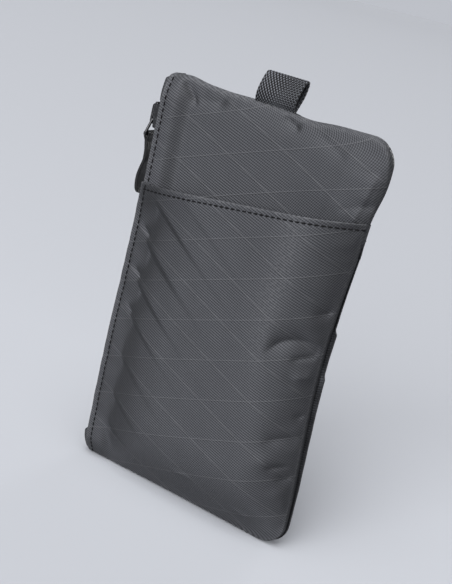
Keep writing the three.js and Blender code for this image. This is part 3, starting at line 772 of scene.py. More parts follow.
def pocket_panel(name, side, mouth, surface, edge_step):
    place, reach, depth = panel_columns(POCKET_ROLL)
    rolled = roll_steps(POCKET_ROLL)
    corner = np.concatenate([rolled, steps(POCKET_ROLL, CORNER_RADIUS, CLOTH_STEP)[1:]])
    rise = steps(0, 1, CLOTH_STEP / (MOUTH_RIGHT - CORNER_RADIUS))[1:]
    turn_reach, turn_depth = fold_turn()
    flap = steps(0, HEM_HEIGHT, HEM_HEIGHT / FLAP_STEPS)
    top = mouth(place)
    z = np.concatenate([
        np.tile(corner[:, None], (1, len(place))),
        mix(CORNER_RADIUS, top[None, :], rise[:, None]),
        np.tile(top, (len(turn_reach), 1)),
        top[None, :] - flap[:, None],
    ])
    face = np.zeros(len(corner) + len(rise))
    hem_depth = np.concatenate([face, turn_depth, np.full(len(flap), 2 * FOLD_RADIUS)])
    hem_reach = np.concatenate([face, turn_reach, np.zeros(len(flap))])
    x = mix(zip_edge(z) - edge_step, seam_edge(z), place[None, :])
    points = surface(x, z, depth[None, :] + hem_depth[:, None])
    points[..., 0] -= reach
    points[..., 2] += hem_reach[:, None]
    edges = [
        (x - zip_edge(z) + edge_step) / EDGE_WEAR,
        (top[None, :] - z) / MOUTH_WEAR,
        seam_distance(x, z) / EDGE_WEAR,
    ]
    wear_and_highlight = np.max([bell(edge) for edge in edges], axis=0)
    if side == FRONT:
        # Painted highlight along the crest of the right swell, added to the real wear of the edges
        crest_highlight = CREST_HIGHLIGHT * smooth((z - CREST_HIGHLIGHT_LOW) / CREST_HIGHLIGHT_RISE)
        wear_and_highlight = np.maximum(wear_and_highlight, crest_highlight * bell((seam_edge(z) - x - POCKET_RIGHT_SLOPE) / CREST_HIGHLIGHT_RUN))
    return finish_panel(name, points, side, wear_and_highlight, 0 * x)


def lining_panel(name, side):
    across = np.linspace(*LINING_SPAN, LINING_COLUMNS)
    u, z = np.meshgrid(across, np.linspace(LINING_INSET, BODY_HEIGHT - LINING_INSET, LINING_ROWS))
    x = mix(zip_edge(z), seam_edge(z) - LINING_SEAM_GAP, u)
    y = side * (body_half(x, z) - PLY - LINING_GAP + lumps(x, z, LINING_SLACK, LINING_SEED + side))
    points = np.stack([x, y, z], axis=-1)
    return lay_cloth(name, points, side > 0, thickness=LINING_PLY)


def seam_arc(turn, centre_z):
    x = seam_line(centre_z) - CORNER_RADIUS + CORNER_RADIUS * np.cos(turn)
    return np.stack([x, centre_z + CORNER_RADIUS * np.sin(turn)], axis=1)


def seam_strip():
    """The turned-in edge between the panels, a little way inside the seam."""
    end_x = np.linspace(SEAM_STRIP_START, BODY_WIDTH / 2 - CORNER_RADIUS, SEAM_END_STEPS)[:-1]
    side_z = np.linspace(BODY_HEIGHT - CORNER_RADIUS, CORNER_RADIUS, SEAM_SIDE_STEPS)
    angle = np.linspace(np.pi / 2, 0, SEAM_ARC_STEPS)
    path = np.concatenate([
        np.stack([end_x, np.full(len(end_x), BODY_HEIGHT)], axis=1),
        seam_arc(angle, BODY_HEIGHT - CORNER_RADIUS),
        np.stack([seam_edge(side_z), side_z], axis=1)[1:-1],
        seam_arc(angle - np.pi / 2, CORNER_RADIUS),
        np.stack([end_x[::-1], np.zeros(len(end_x))], axis=1),
    ])
    along = np.gradient(path, axis=0)
    along /= np.linalg.norm(along, axis=1, keepdims=True)
    inward = np.stack([along[:, 1], -along[:, 0]], axis=1)
    reaches = np.linspace(SEAM_STRIP_INSET, SEAM_STRIP_WIDTH, SEAM_STRIP_ROWS)
    flat = np.stack([path + inward * reach for reach in reaches], axis=0)
    x, z = flat[..., 0], flat[..., 1]
    points = np.stack([x, 0 * x, settle(x, z)], axis=-1)
    return lay_cloth("seam_strip", points, False, thickness=SEAM_STRIP_PLY, offset=0)


# Zip tapes and end tabs

def swept_strip(name, path, levels, thickness, offset, flip):
    """A cloth strip whose section (across, depth) may change with height."""
    points = np.array([[(x, y, z) for x, y in path(z)] for z in levels])
    return lay_cloth(name, points, flip, thickness, offset)


def zip_tape(name, side):
    turn = np.linspace(0, np.pi / 2, BEND_STEPS)
    bend_x = TAPE_X + TAPE_BEND - TAPE_BEND * np.sin(turn)
    bend_y = TAPE_Y - TAPE_BEND + TAPE_BEND * np.cos(turn)
    leg = [(x, TAPE_Y) for x in np.linspace(TAPE_LEG_END, TAPE_X + TAPE_BEND, LEG_STEPS)[:-1]]
    face = [(TAPE_X, y) for y in np.linspace(TAPE_Y - TAPE_BEND, TAPE_EDGE_Y, FACE_STEPS)[1:]]
    section = [(x, side * y) for x, y in leg + list(zip(bend_x, bend_y)) + face]
    levels = steps(ZIP_START, ZIP_END, TAPE_STEP)
    return swept_strip(name, lambda z: section, levels, TAPE_THICKNESS, 0, side < 0)


def end_tab(name, node, draw_in, taper):
    start, end = low(node), high(node)
    turn = np.linspace(0, np.pi / 2, TAB_ARC_STEPS)

    def section(z):
        half = float(body_half(zip_edge(z), z)) - PLY - 2 * FOLD_RADIUS - TAB_CLEARANCE
        edge = TAB_LIP * max(0.0, 1 - min(z - start[2], end[2] - z) / TAB_LIP) ** 2
        half = max(half, TAB_ROUND) - edge
        outer = start[0] + draw_in + edge + taper * (end[2] - z) / (end[2] - start[2])
        arc = [(outer + TAB_ROUND * (1 - math.sin(t)), half - TAB_ROUND * (1 - math.cos(t))) for t in turn]
        leg = [(x, half) for x in np.linspace(end[0], outer + TAB_ROUND, LEG_STEPS)[:-1]]
        back = [(outer, y) for y in np.linspace(half - TAB_ROUND, 0, TAB_BACK_STEPS)[1:]]
        first = leg + arc + back
        return first + [(x, -y) for x, y in first[:-1][::-1]]

    levels = np.concatenate([
        start[2] + np.linspace(0, TAB_LIP, TAB_LIP_STEPS),
        steps(start[2] + TAB_LIP, end[2] - TAB_LIP, TAB_STEP)[1:-1],
        end[2] - np.linspace(TAB_LIP, 0, TAB_LIP_STEPS),
    ])
    piece = swept_strip(name, section, levels, TAB_PLY, 1, False)
    run = np.gradient(np.array([section(z) for z in levels]), axis=1)
    # The facing is stored so that the shell's painted shade also darkens the tab where it faces sideways
    point_value(piece, "turn", run[..., 1] / np.linalg.norm(run, axis=2))
    return piece


# Node trees

def add(tree, kind, inputs=None, **settings):
    """A node with its settings made and its inputs joined or filled."""
    node = tree.nodes.new(kind)
    for key, value in settings.items():
        setattr(node, key, value)
    for key, value in (inputs or {}).items():
        socket = node.inputs[key]
        if isinstance(value, bpy.types.NodeSocket):
            tree.links.new(value, socket)
        else:
            socket.default_value = value
    return node


def calc(tree, operation, *values):
    return add(tree, "ShaderNodeMath", dict(enumerate(values)), operation=operation).outputs[0]


def geometry_tree(name, sizes):
    tree = bpy.data.node_groups.new(name, "GeometryNodeTree")
    tree.interface.new_socket("Geometry", in_out="INPUT", socket_type="NodeSocketGeometry")
    for label in sizes:
        tree.interface.new_socket(label, in_out="INPUT", socket_type="NodeSocketFloat")
    tree.interface.new_socket("Geometry", in_out="OUTPUT", socket_type="NodeSocketGeometry")
    return tree, tree.nodes.new("NodeGroupInput").outputs


def close_tree(tree, geometry, material):
    real = add(tree, "GeometryNodeRealizeInstances", {"Geometry": geometry})
    made = add(tree, "GeometryNodeSetMaterial", {"Geometry": real.outputs["Geometry"], "Material": material})
    add(tree, "NodeGroupOutput", {"Geometry": made.outputs["Geometry"]})
    return tree


def grow(piece, tree, sizes):
    """Replaces a piece's mesh with the plain mesh that a geometry tree grows from it."""
    modifier = piece.modifiers.new(tree.name, "NODES")
    modifier.node_group = tree
    for socket in tree.interface.items_tree:
        if socket.in_out == "INPUT" and socket.name in sizes:
            modifier[socket.identifier] = float(sizes[socket.name])
    shown = piece.evaluated_get(bpy.context.evaluated_depsgraph_get())
    made = bpy.data.meshes.new_from_object(shown)
    piece.modifiers.remove(modifier)
    piece.data = made
    made.name = piece.name
    made.shade_smooth()
    return piece


# The two rows of the zip's chain

COIL_SIZES = ("Turns", "Pitch", "Start", "Side", "Middle across", "Half across", "Middle depth", "Half depth",
              "Wire", "Parting", "Parting start", "Parting end")


def coil_tree(material):
    """A flattened coil of wire that climbs the zip and moves aside where the slider parts the rows."""
    tree, size = geometry_tree("zip coil", COIL_SIZES)
    height = calc(tree, "MULTIPLY", size["Turns"], size["Pitch"])
    coil = add(tree, "GeometryNodeCurveSpiral", {
        "Resolution": COIL_TURN_STEPS, "Rotations": size["Turns"], "Start Radius": 1.0, "End Radius": 1.0,
        "Height": height})
    position = add(tree, "GeometryNodeInputPosition").outputs["Position"]
    place = add(tree, "ShaderNodeSeparateXYZ", {"Vector": position})
    z = calc(tree, "ADD", place.outputs["Z"], size["Start"])
    aside = add(tree, "ShaderNodeMapRange", {
        "Value": z, "From Min": size["Parting start"], "From Max": size["Parting end"], "To Min": 0.0,
        "To Max": size["Parting"]}, interpolation_type="SMOOTHSTEP")
    x = calc(tree, "MULTIPLY_ADD", place.outputs["X"], size["Half depth"], size["Middle depth"])
    reach = calc(tree, "MULTIPLY_ADD", place.outputs["Y"], size["Half across"], size["Middle across"])
    y = calc(tree, "MULTIPLY", calc(tree, "ADD", reach, aside.outputs["Result"]), size["Side"])
    point = add(tree, "ShaderNodeCombineXYZ", {"X": x, "Y": y, "Z": z})
    bent = add(tree, "GeometryNodeSetPosition", {
        "Geometry": coil.outputs["Curve"], "Position": point.outputs["Vector"]})
    section = add(tree, "GeometryNodeCurvePrimitiveCircle", {
        "Resolution": COIL_WIRE_SIDES, "Radius": size["Wire"]})
    wire = add(tree, "GeometryNodeCurveToMesh", {
        "Curve": bent.outputs["Geometry"], "Profile Curve": section.outputs["Curve"], "Fill Caps": True})
    return close_tree(tree, wire.outputs["Mesh"], material)


def zip_coil(name, side, tree, node):
    start, end = low(node), high(node)
    shift = COIL_PITCH / 2 if side > 0 else 0
    slider_low, slider_high = low("slider_body")[2], high("slider_body")[2]
    parting_start = slider_low + PARTING_DELAY
    piece = mesh_object(name, [], [])
    return grow(piece, tree, {
        "Turns": math.floor((ZIP_END - ZIP_START - COIL_PITCH) / COIL_PITCH) - 1,
        "Pitch": COIL_PITCH * MM,
        "Start": (ZIP_START + COIL_PITCH / 2 + shift) * MM,
        "Side": side,
        "Middle across": (COIL_HALF_WIDTH - COIL_PAST_CENTRE) / 2 * MM,
        "Half across": (COIL_HALF_WIDTH + COIL_PAST_CENTRE - COIL_WIRE) / 2 * MM,
        "Middle depth": (start[0] + end[0]) / 2 * MM,
        "Half depth": (end[0] - start[0] - COIL_WIRE) / 2 * MM,
        "Wire": COIL_WIRE / 2 * MM,
        "Parting": COIL_PARTING * MM,
        "Parting start": parting_start * MM,
        "Parting end": (parting_start + slider_high - NECK_FROM_TOP - slider_low) * MM,
    })


# Stitching

def stitch_tree(thread):
    tree, size = geometry_tree("stitches", ("Pitch", "Length", "Width"))
    line = add(tree, "GeometryNodeMeshToCurve", {"Mesh": size["Geometry"]})
    holes = add(tree, "GeometryNodeResampleCurve", {
        "Curve": line.outputs["Curve"], "Length": size["Pitch"]}, mode="LENGTH")
    bead = add(tree, "GeometryNodeMeshUVSphere", {
        "Segments": STITCH_SEGMENTS, "Rings": STITCH_RINGS, "Radius": 0.5})
    scale = add(tree, "ShaderNodeCombineXYZ", {"X": size["Length"], "Y": size["Width"], "Z": size["Width"]})
    stitch = add(tree, "GeometryNodeTransform", {
        "Geometry": bead.outputs["Mesh"], "Scale": scale.outputs["Vector"]})
    tangent = add(tree, "GeometryNodeInputTangent")
    turn = add(tree, "FunctionNodeAlignRotationToVector", {"Vector": tangent.outputs["Tangent"]}, axis="X")
    row = add(tree, "GeometryNodeInstanceOnPoints", {
        "Points": holes.outputs["Curve"], "Instance": stitch.outputs["Geometry"],
        "Rotation": turn.outputs["Rotation"]})
    return close_tree(tree, row.outputs["Instances"], thread)


def stitch_rows(name, rows, tree):
    """Stitches along each row of points, as one mesh."""
    points, edges = [], []
    for row in rows:
        edges += [(len(points) + k, len(points) + k + 1) for k in range(len(row) - 1)]
        points += list(row)
    piece = mesh_object(name, points, [], edges)
    return grow(piece, tree, {
        "Pitch": STITCH_PITCH * MM, "Length": STITCH_LENGTH * MM, "Width": STITCH_WIDTH * MM})


def zip_side_row(surface, start, end):
    z = np.linspace(start, end, ROW_POINTS)
    return surface(zip_edge(z) + STITCH_INSET, z)


def mouth_row(surface, mouth):
    u = np.linspace(STITCH_INSET / BODY_WIDTH, 1 - ROW_MOUTH_GAP / BODY_WIDTH, ROW_POINTS)
    z = mouth(u) - STITCH_INSET
    return surface(mix(zip_edge(z), seam_edge(z), u), z)


def pouch_stitches(tree):
    rows = []
    pockets = (
        (FRONT, front_pocket_surface, front_mouth),
        (BACK, back_pocket_surface, back_mouth),
    )
    for side, pocket, mouth in pockets:
        body = functools.partial(body_surface, side)
        corner = float(mouth(0.0))
        rows.append(zip_side_row(body, BODY_HEIGHT - ROW_TOP_GAP, corner + ROW_TOP_GAP))
        rows.append(zip_side_row(pocket, corner - ROW_MOUTH_GAP, ROW_FOOT))
        rows.append(mouth_row(pocket, mouth))
    return stitch_rows("seam_stitches", rows, tree)


# Slider, ring and strap

def bevelled_copy(name, node, bevel):
    """A merged copy of a solid with its edges broken, so that they catch the light."""
    shape = bmesh.new()
    shape.from_mesh(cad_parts[node].data)
    bmesh.ops.remove_doubles(shape, verts=shape.verts, dist=MERGE_DISTANCE)
    bmesh.ops.dissolve_limit(shape, angle_limit=FLAT_ANGLE, verts=shape.verts, edges=shape.edges)
    mesh = bpy.data.meshes.new(name)
    shape.to_mesh(mesh)
    shape.free()
    mesh.shade_smooth()
    piece = bpy.data.objects.new(name, mesh)
    bpy.context.scene.collection.objects.link(piece)
    edge = piece.modifiers.new("broken edges", "BEVEL")
    edge.width = bevel * MM
    edge.segments = BEVEL_SEGMENTS
    edge.limit_method = "ANGLE"
    edge.angle_limit = BEVEL_ANGLE
    edge.harden_normals = True
    return piece


def tube(name, path, normal, radius, sides):
    """A closed tube round a flat closed path."""
    along = np.roll(path, -1, axis=0) - np.roll(path, 1, axis=0)
    along /= np.linalg.norm(along, axis=1, keepdims=True)
    outward = np.cross(along, normal)
    angle = np.linspace(0, 2 * np.pi, sides, endpoint=False)
    around = np.cos(angle)[None, :, None] * normal + np.sin(angle)[None, :, None] * outward[:, None]
    rings = path[:, None] + radius * around
    count = len(path)
    faces = []
    for k in range(count):
        for s in range(sides):
            here, there = k * sides, (k + 1) % count * sides
            faces.append((here + s, there + s, there + (s + 1) % sides, here + (s + 1) % sides))
    return mesh_object(name, rings, faces)


def rounded_path(corners, radius, arc_steps, side_steps):
    points = []
    count = len(corners)
    for k in range(count):
        corner, before, after = corners[k], corners[k - 1], corners[(k + 1) % count]
        start = corner + (before - corner) / np.linalg.norm(before - corner) * radius
        end = corner + (after - corner) / np.linalg.norm(after - corner) * radius
        far = after + (corner - after) / np.linalg.norm(corner - after) * radius
        for t in np.linspace(0, 1, arc_steps):
            points.append((1 - t) ** 2 * start + 2 * t * (1 - t) * corner + t * t * end)
        for t in np.linspace(0, 1, side_steps)[1:-1]:
            points.append(mix(end, far, t))
    return np.array(points)


def pull_ring():
    corners = np.array([
        (-RING_TOP_HALF, 0), (RING_TOP_HALF, 0),
        (RING_BOTTOM_HALF, RING_HEIGHT), (-RING_BOTTOM_HALF, RING_HEIGHT),
    ], float)
    flat = rounded_path(corners, RING_CORNER, RING_ARC_STEPS, RING_SIDE_STEPS)
    drop = np.array([-math.sin(RING_TILT), 0, -math.cos(RING_TILT)])
    normal = np.array([math.cos(RING_TILT), 0, -math.sin(RING_TILT)])
    path = RING_PIVOT + flat[:, :1] * np.array([0, 1.0, 0]) + flat[:, 1:] * drop
    return tube("ring_wire", path, normal, RING_WIRE / 2, RING_SIDES)


def strap_centre(t):
    foot = STRAP_NEAREST - STRAP_SWAY / 2
    line = mix(STRAP_EYE[0], foot, ease(t * 2))
    bend = STRAP_SWAY * np.sin(2 * np.pi * (t - 0.5)) * smooth(t * 2)
    x = np.minimum(line - np.maximum(bend, -STRAP_SWAY / 2), STRAP_NEAREST)
    return np.stack([x, STRAP_EYE[2] - STRAP_LENGTH * t], axis=-1)


def ribbon(name, path, across, half_width, columns, thickness, lift=None):
    """A flat strap along a path, with its own cloth UV; lift raises the surface at (along, across)."""
    along = np.gradient(path, axis=0)
    along /= np.linalg.norm(along, axis=1, keepdims=True)
    normal = np.cross(along, across)
    s = np.linspace(-1, 1, columns)
    offset = half_width[:, None] * s[None, :]
    points = path[:, None] + offset[..., None] * across
    if lift is not None:
        run = np.concatenate([[0], np.cumsum(np.linalg.norm(np.diff(path, axis=0), axis=1))])
        points = points + lift(run[:, None], offset)[..., None] * normal[:, None]
    return lay_cloth(name, points, True, thickness, 0)


def pull_strap():
    neck = STRAP_NECK / STRAP_LENGTH
    hang = strap_centre(np.linspace(1, neck, STRAP_STEPS))
    ply = STRAP_PLY / 2
    radius = STRAP_EYE_RADIUS + ply
    turn = np.linspace(np.pi + STRAP_EYE_LEAN, -STRAP_EYE_LEAN, STRAP_EYE_STEPS)
    eye = np.stack([STRAP_EYE[0] + radius * np.cos(turn), STRAP_EYE[2] + radius * np.sin(turn)], axis=1)
    flat = np.concatenate([hang - [ply, 0], eye, hang[::-1] + [ply, 0]])
    path = np.stack([flat[:, 0], 0 * flat[:, 0], flat[:, 1]], axis=1)
    rise = np.clip((path[:, 2] - (STRAP_EYE[2] - STRAP_LENGTH)) / STRAP_HALF, 0, 1)
    half = STRAP_HALF * np.sqrt(np.maximum(1 - (1 - rise) ** 2, STRAP_TIP_LEAST))
    return ribbon("strap", path, np.array([0, 1.0, 0]), half, STRAP_COLUMNS, STRAP_PLY * STRAP_FILL)


def loop_path():
    """From one tail inside the seam, round the loop and back down to the other."""
    keys = [
        (-LOOP_TAIL_Y, LOOP_FOOT), (-LOOP_TAIL_Y, BODY_HEIGHT - 1), (-2.2, BODY_HEIGHT + 1.8),
        (-2.9, BODY_HEIGHT + 5.0), (-2.2, LOOP_TOP - 4.0), (-0.9, LOOP_TOP - 1.1),
        (0.6, LOOP_TOP - 0.6), (2.1, LOOP_TOP - 1.2), (2.9, LOOP_TOP - 3.6),
        (2.9, BODY_HEIGHT + 6.3), (1.7, BODY_HEIGHT + 2.2), (LOOP_TAIL_Y, BODY_HEIGHT - 1),
        (LOOP_TAIL_Y, LOOP_FOOT),
    ]
    points = []
    padded = [keys[0]] + keys + [keys[-1]]
    for k in range(len(keys) - 1):
        a, b, c, d = (np.array(p) for p in padded[k:k + 4])
        for t in np.linspace(0, 1, LOOP_SPAN_STEPS, endpoint=False):
            square = (2 * a - 5 * b + 4 * c - d) * t ** 2
            cube = (3 * b - a - 3 * c + d) * t ** 3
            points.append(0.5 * (2 * b + (c - a) * t + square + cube))
    points.append(np.array(keys[-1]))
    dense = np.array(points)
    run = np.concatenate([[0], np.cumsum(np.linalg.norm(np.diff(dense, axis=0), axis=1))])
    even = np.arange(0, run[-1], WEAVE_STEP)
    return np.stack([np.interp(even, run, dense[:, 0]), np.interp(even, run, dense[:, 1])], axis=1)


def weave_lift(along, across):
    selvedge = smooth((LOOP_HALF_WIDTH - np.abs(across)) / SELVEDGE)
    crowns = np.sin(np.pi * along / WEAVE_ALONG) * np.sin(np.pi * across / WEAVE_ACROSS)
    return WEAVE_HEIGHT * selvedge * crowns


def hang_loop():
    flat = loop_path()
    risen = np.clip((flat[:, 1] - BODY_HEIGHT) / (LOOP_TOP - BODY_HEIGHT), 0, 1)
    path = np.stack([LOOP_MIDDLE + LOOP_SKEW * (risen - 0.5), flat[:, 0], flat[:, 1]], axis=1)
    half = np.full(len(path), LOOP_HALF_WIDTH)
    columns = int(2 * LOOP_HALF_WIDTH / WEAVE_STEP) + 1
    return ribbon("loop_webbing", path, np.array([1.0, 0, 0]), half, columns, LOOP_WEBBING, weave_lift)


# Colours and finishes
# A range of four is the least and most that is read, then what they become; a range of two is one of these pairs

NOISE_MIDDLE = (0.3, 0.7)
# The weave's ribs are a real pattern, drawn with painted shade in their hollows and painted light on their
# crowns
RIB_HOLLOW_SHADE = (0.0195, 0.0202, 0.0231)
RIB_CROWN_LIT = (0.114, 0.1177, 0.1313)
RIB_PATCH_SCALE = 90.0
RIB_PATCHES = (0.55, 0.8)
# Painted light: where the cloth turns aside, the cross ribs take over, as raking light would pick them out
RIB_RAKING_TURN = (0.3, 0.75, 1.0, 0.45)
YARN = (0.22, 0.222, 0.235)
YARN_SHOWS = 0.17
YARN_HEIGHT = 0.9
AGED_CLOTH = (0.035, 0.036, 0.041)
AGE_SCALE = 22.0
AGE_SHARE = (0.0, 0.16)
# Lighter cloth for real wear at the edges and for the painted highlight on the front pocket's crest
WORN_AND_HIGHLIT_CLOTH = (0.16, 0.162, 0.172)
PATCHINESS_SCALE = 700.0
PATCHINESS = (0.4, 0.65, 0.08, 0.45)
# Painted shade: the cloth's colour darkens towards this where it faces down or to either side
PAINTED_SHADE_CLOTH = (0.014, 0.0145, 0.016)
DOWN_SHADE = (-0.7, -0.12, 0.42, 0.0)
RIGHT_SHADE = (0.1, 0.72, 0.0, 0.66)
LEFT_SHADE = (-0.3, 0.02, 0.74, 0.0)
SHELL_ROUGH_SCALE = 400.0
SHELL_ROUGH = (0.46, 0.56)
SHELL_RELIEF = 0.14
LINING_THREAD = 0.6
LINING_DARK = (0.07, 0.072, 0.08)
LINING_PALE = (0.12, 0.122, 0.132)
LINING_PATCH = (0.06, 0.06, 0.068)
LINING_PATCH_SCALE = 60.0
LINING_PATCH_SHARE = (0.0, 0.3)
LINING_RELIEF = 0.05
TWILL_ANGLE = 45
TWILL_PITCH = 0.55
TAPE_THREAD = 0.4
TAPE_DARK = (0.014, 0.014, 0.016)
TAPE_PALE = (0.05, 0.05, 0.055)
TAPE_DUST = (0.09, 0.09, 0.095)
TAPE_DUST_SCALE = 300.0
TAPE_DUST_SHARE = (0.5, 0.8, 0.0, 0.2)
TAPE_RELIEF = 0.08
NYLON = (0.016, 0.016, 0.018)
NYLON_DUST = (0.05, 0.05, 0.054)
NYLON_DUST_SCALE = 900.0
NYLON_DUST_SHARE = (0.45, 0.75, 0.0, 0.35)
NYLON_ROUGH = (0.0, 0.35, 0.3, 0.5)
METAL_DARK = (0.03, 0.03, 0.032)
METAL_RUBBED = (0.12, 0.12, 0.125)
RUB_SCALE = 500.0
RUB_DETAIL = 4.0
RUB_SHARE = (0.5, 0.72, 0.0, 1.0)
METAL_ROUGH_SCALE = 1500.0
METAL_ROUGH = (0.2, 0.32)
METAL_GRAIN_SCALE = 2500.0
METAL_RELIEF = 0.008
STRAP_THREAD = 0.5
STRAP_DARK = (0.005, 0.005, 0.0056)
STRAP_PALE = (0.016, 0.016, 0.0175)
STRAP_ROUGH_SCALE = 500.0
STRAP_ROUGH = (0.3, 0.46)
STRAP_RELIEF = 0.03
# The webbing's weave is a real pattern, drawn with painted shade near black in its hollows and painted light on
# its crowns
WEB_HOLLOW_SHADE = (0.001, 0.001, 0.0012)
WEB_CROWN_LIT = (0.182, 0.191, 0.214)
WEB_CROWN_RANGE = (-0.1, 0.75)
WEB_FIBRE = (0.03, 0.03, 0.033)
FIBRE_SCALE = 2600.0
FIBRE_SHOWS = 0.15
FIBRE_HEIGHT = 0.25
WEB_RELIEF = 0.06
THREAD_TWIST_ANGLE = 35
THREAD_TWIST = 0.35
THREAD_DARK = (0.004, 0.004, 0.005)
THREAD_PALE = (0.014, 0.014, 0.015)
THREAD_RELIEF = 0.04



def new_material(name):
    material = bpy.data.materials.new(name)
    material.use_nodes = True
    tree = material.node_tree
    return material, tree, tree.nodes["Principled BSDF"]


def surface_settings(shader, **values):
    for key, value in values.items():
        shader.inputs[key.replace("_", " ")].default_value = value


def noise_value(tree, vector, scale, detail=2.0):
    inputs = {"Vector": vector, "Scale": scale, "Detail": detail}
    return add(tree, "ShaderNodeTexNoise", inputs).outputs["Fac"]


def cloth_place(tree):
    return add(tree, "ShaderNodeUVMap", uv_map="cloth").outputs["UV"]


def object_place(tree):
    return add(tree, "ShaderNodeTexCoord").outputs["Object"]


def stored(tree, name):
    return add(tree, "ShaderNodeAttribute", attribute_name=name).outputs["Fac"]


def between(tree, value, low_in, high_in, low_out=0.0, high_out=1.0):
    return add(tree, "ShaderNodeMapRange", {
        "Value": value, "From Min": low_in, "From Max": high_in, "To Min": low_out, "To Max": high_out,
    }, interpolation_type="SMOOTHSTEP").outputs["Result"]


def colour_mix(tree, factor, first, second):
    node = add(tree, "ShaderNodeMixRGB", {"Fac": factor})
    for key, value in (("Color1", first), ("Color2", second)):
        if isinstance(value, bpy.types.NodeSocket):
            tree.links.new(value, node.inputs[key])
        else:
            node.inputs[key].default_value = (*value, 1)
    return node.outputs["Color"]


def across_lines(tree, vector, angle, pitch, shift=0.0):
    """Distance across lines at an angle to the cloth's width, counted in pitches."""
    turned = add(tree, "ShaderNodeMapping", {
        "Vector": vector, "Rotation": (0, 0, math.radians(-angle)), "Scale": (1 / (pitch * MM),) * 3,
        "Location": (0, -shift / pitch, 0)})
    return add(tree, "ShaderNodeSeparateXYZ", {"Vector": turned.outputs["Vector"]}).outputs["Y"]


def blotches(tree, place, scale, least, most):
    """Soft patches between two values."""
    return between(tree, noise_value(tree, place, scale), *NOISE_MIDDLE, least, most)


def ribs(tree, vector, angle, pitch):
    turns = calc(tree, "MULTIPLY", across_lines(tree, vector, angle, pitch), 2 * math.pi)
    return calc(tree, "MULTIPLY_ADD", calc(tree, "COSINE", turns), 0.5, 0.5)


def plain_weave(tree, cloth, pitch):
    return calc(tree, "MULTIPLY", ribs(tree, cloth, 0, pitch), ribs(tree, cloth, 90, pitch))


def grid_line(tree, vector, angle, shift):
    near = calc(tree, "PINGPONG", across_lines(tree, vector, angle, GRID_SPACING, shift), 0.5)
    return between(tree, near, YARN_HALF / GRID_SPACING, YARN_FADE / GRID_SPACING, 1.0, 0.0)


def paint(tree, shader, colour, rough=None):
    tree.links.new(colour, shader.inputs["Base Color"])
    if rough is not None:
        tree.links.new(rough, shader.inputs["Roughness"])


def bump(tree, shader, height, distance, strength=1.0):
    node = add(tree, "ShaderNodeBump", {"Height": height, "Distance": distance * MM, "Strength": strength})
    tree.links.new(node.outputs["Normal"], shader.inputs["Normal"])


def shell_weave(tree, cloth, turn):
    """Ribs of the weave: the main set gives way to the cross set where the cloth runs on the bias, and where it
    turns, which paints in how raking light picks out the cross set.
    """
    main = ribs(tree, cloth, RIB_ANGLE, RIB_PITCH)
    cross = ribs(tree, cloth, CROSS_RIB_ANGLE, CROSS_RIB_PITCH)
    patched = blotches(tree, cloth, RIB_PATCH_SCALE, *RIB_PATCHES)
    turned = calc(tree, "MULTIPLY", patched, between(tree, turn, *RIB_RAKING_TURN))
    strength = calc(tree, "MULTIPLY", turned, calc(tree, "SUBTRACT", 1.0, stored(tree, "bias")))
    rest = calc(tree, "SUBTRACT", 1.0, strength)
    return calc(tree, "ADD", calc(tree, "MULTIPLY", main, strength), calc(tree, "MULTIPLY", cross, rest))


def painted_facing_shade(tree, turn):
    """Painted shade: how far the cloth's colour darkens where it faces down or to either side, in place of the
    light falling off there.
    """
    down = between(tree, stored(tree, "tilt"), *DOWN_SHADE)
    sides = calc(tree, "MAXIMUM", between(tree, turn, *RIGHT_SHADE), between(tree, turn, *LEFT_SHADE))
    return calc(tree, "MAXIMUM", down, sides)


def shell_cloth():
    material, tree, shader = new_material("shell_cloth")
    cloth = cloth_place(tree)
    turn = stored(tree, "turn")
    weave = shell_weave(tree, cloth, turn)
    rising = grid_line(tree, cloth, GRID_ANGLE + GRAIN_TURN, GRID_RISING_SHIFT)
    falling = grid_line(tree, cloth, GRAIN_TURN - GRID_ANGLE, GRID_FALLING_SHIFT)
    lines = calc(tree, "MAXIMUM", rising, falling)
    # Real rib pattern with painted shade in the hollows and painted light on the crowns
    woven = colour_mix(tree, weave, RIB_HOLLOW_SHADE, RIB_CROWN_LIT)
    lined = colour_mix(tree, calc(tree, "MULTIPLY", lines, YARN_SHOWS), woven, YARN)
    aged = colour_mix(tree, blotches(tree, cloth, AGE_SCALE, *AGE_SHARE), lined, AGED_CLOTH)
    patchy = between(tree, noise_value(tree, cloth, PATCHINESS_SCALE), *PATCHINESS)
    # Real wear at edges and seams, and the painted crest highlight, lighten the cloth in patches
    worn_and_highlit = colour_mix(tree, calc(tree, "MULTIPLY", stored(tree, "wear_and_highlight"), patchy), aged, WORN_AND_HIGHLIT_CLOTH)
    # Painted shade where the cloth faces down or to either side
    with_painted_shade = colour_mix(tree, painted_facing_shade(tree, turn), worn_and_highlit, PAINTED_SHADE_CLOTH)
    paint(tree, shader, with_painted_shade, blotches(tree, cloth, SHELL_ROUGH_SCALE, *SHELL_ROUGH))
    surface_settings(shader, Specular_IOR_Level=0.16)
    bump(tree, shader, calc(tree, "MULTIPLY_ADD", lines, YARN_HEIGHT, weave), SHELL_RELIEF)
    return material


def lining_cloth():
    material, tree, shader = new_material("lining_cloth")
    cloth = cloth_place(tree)
    weave = plain_weave(tree, cloth, LINING_THREAD)
    shade = colour_mix(tree, weave, LINING_DARK, LINING_PALE)
    patches = blotches(tree, cloth, LINING_PATCH_SCALE, *LINING_PATCH_SHARE)
    paint(tree, shader, colour_mix(tree, patches, shade, LINING_PATCH))
    surface_settings(shader, Roughness=0.55)
    bump(tree, shader, weave, LINING_RELIEF)
    return material


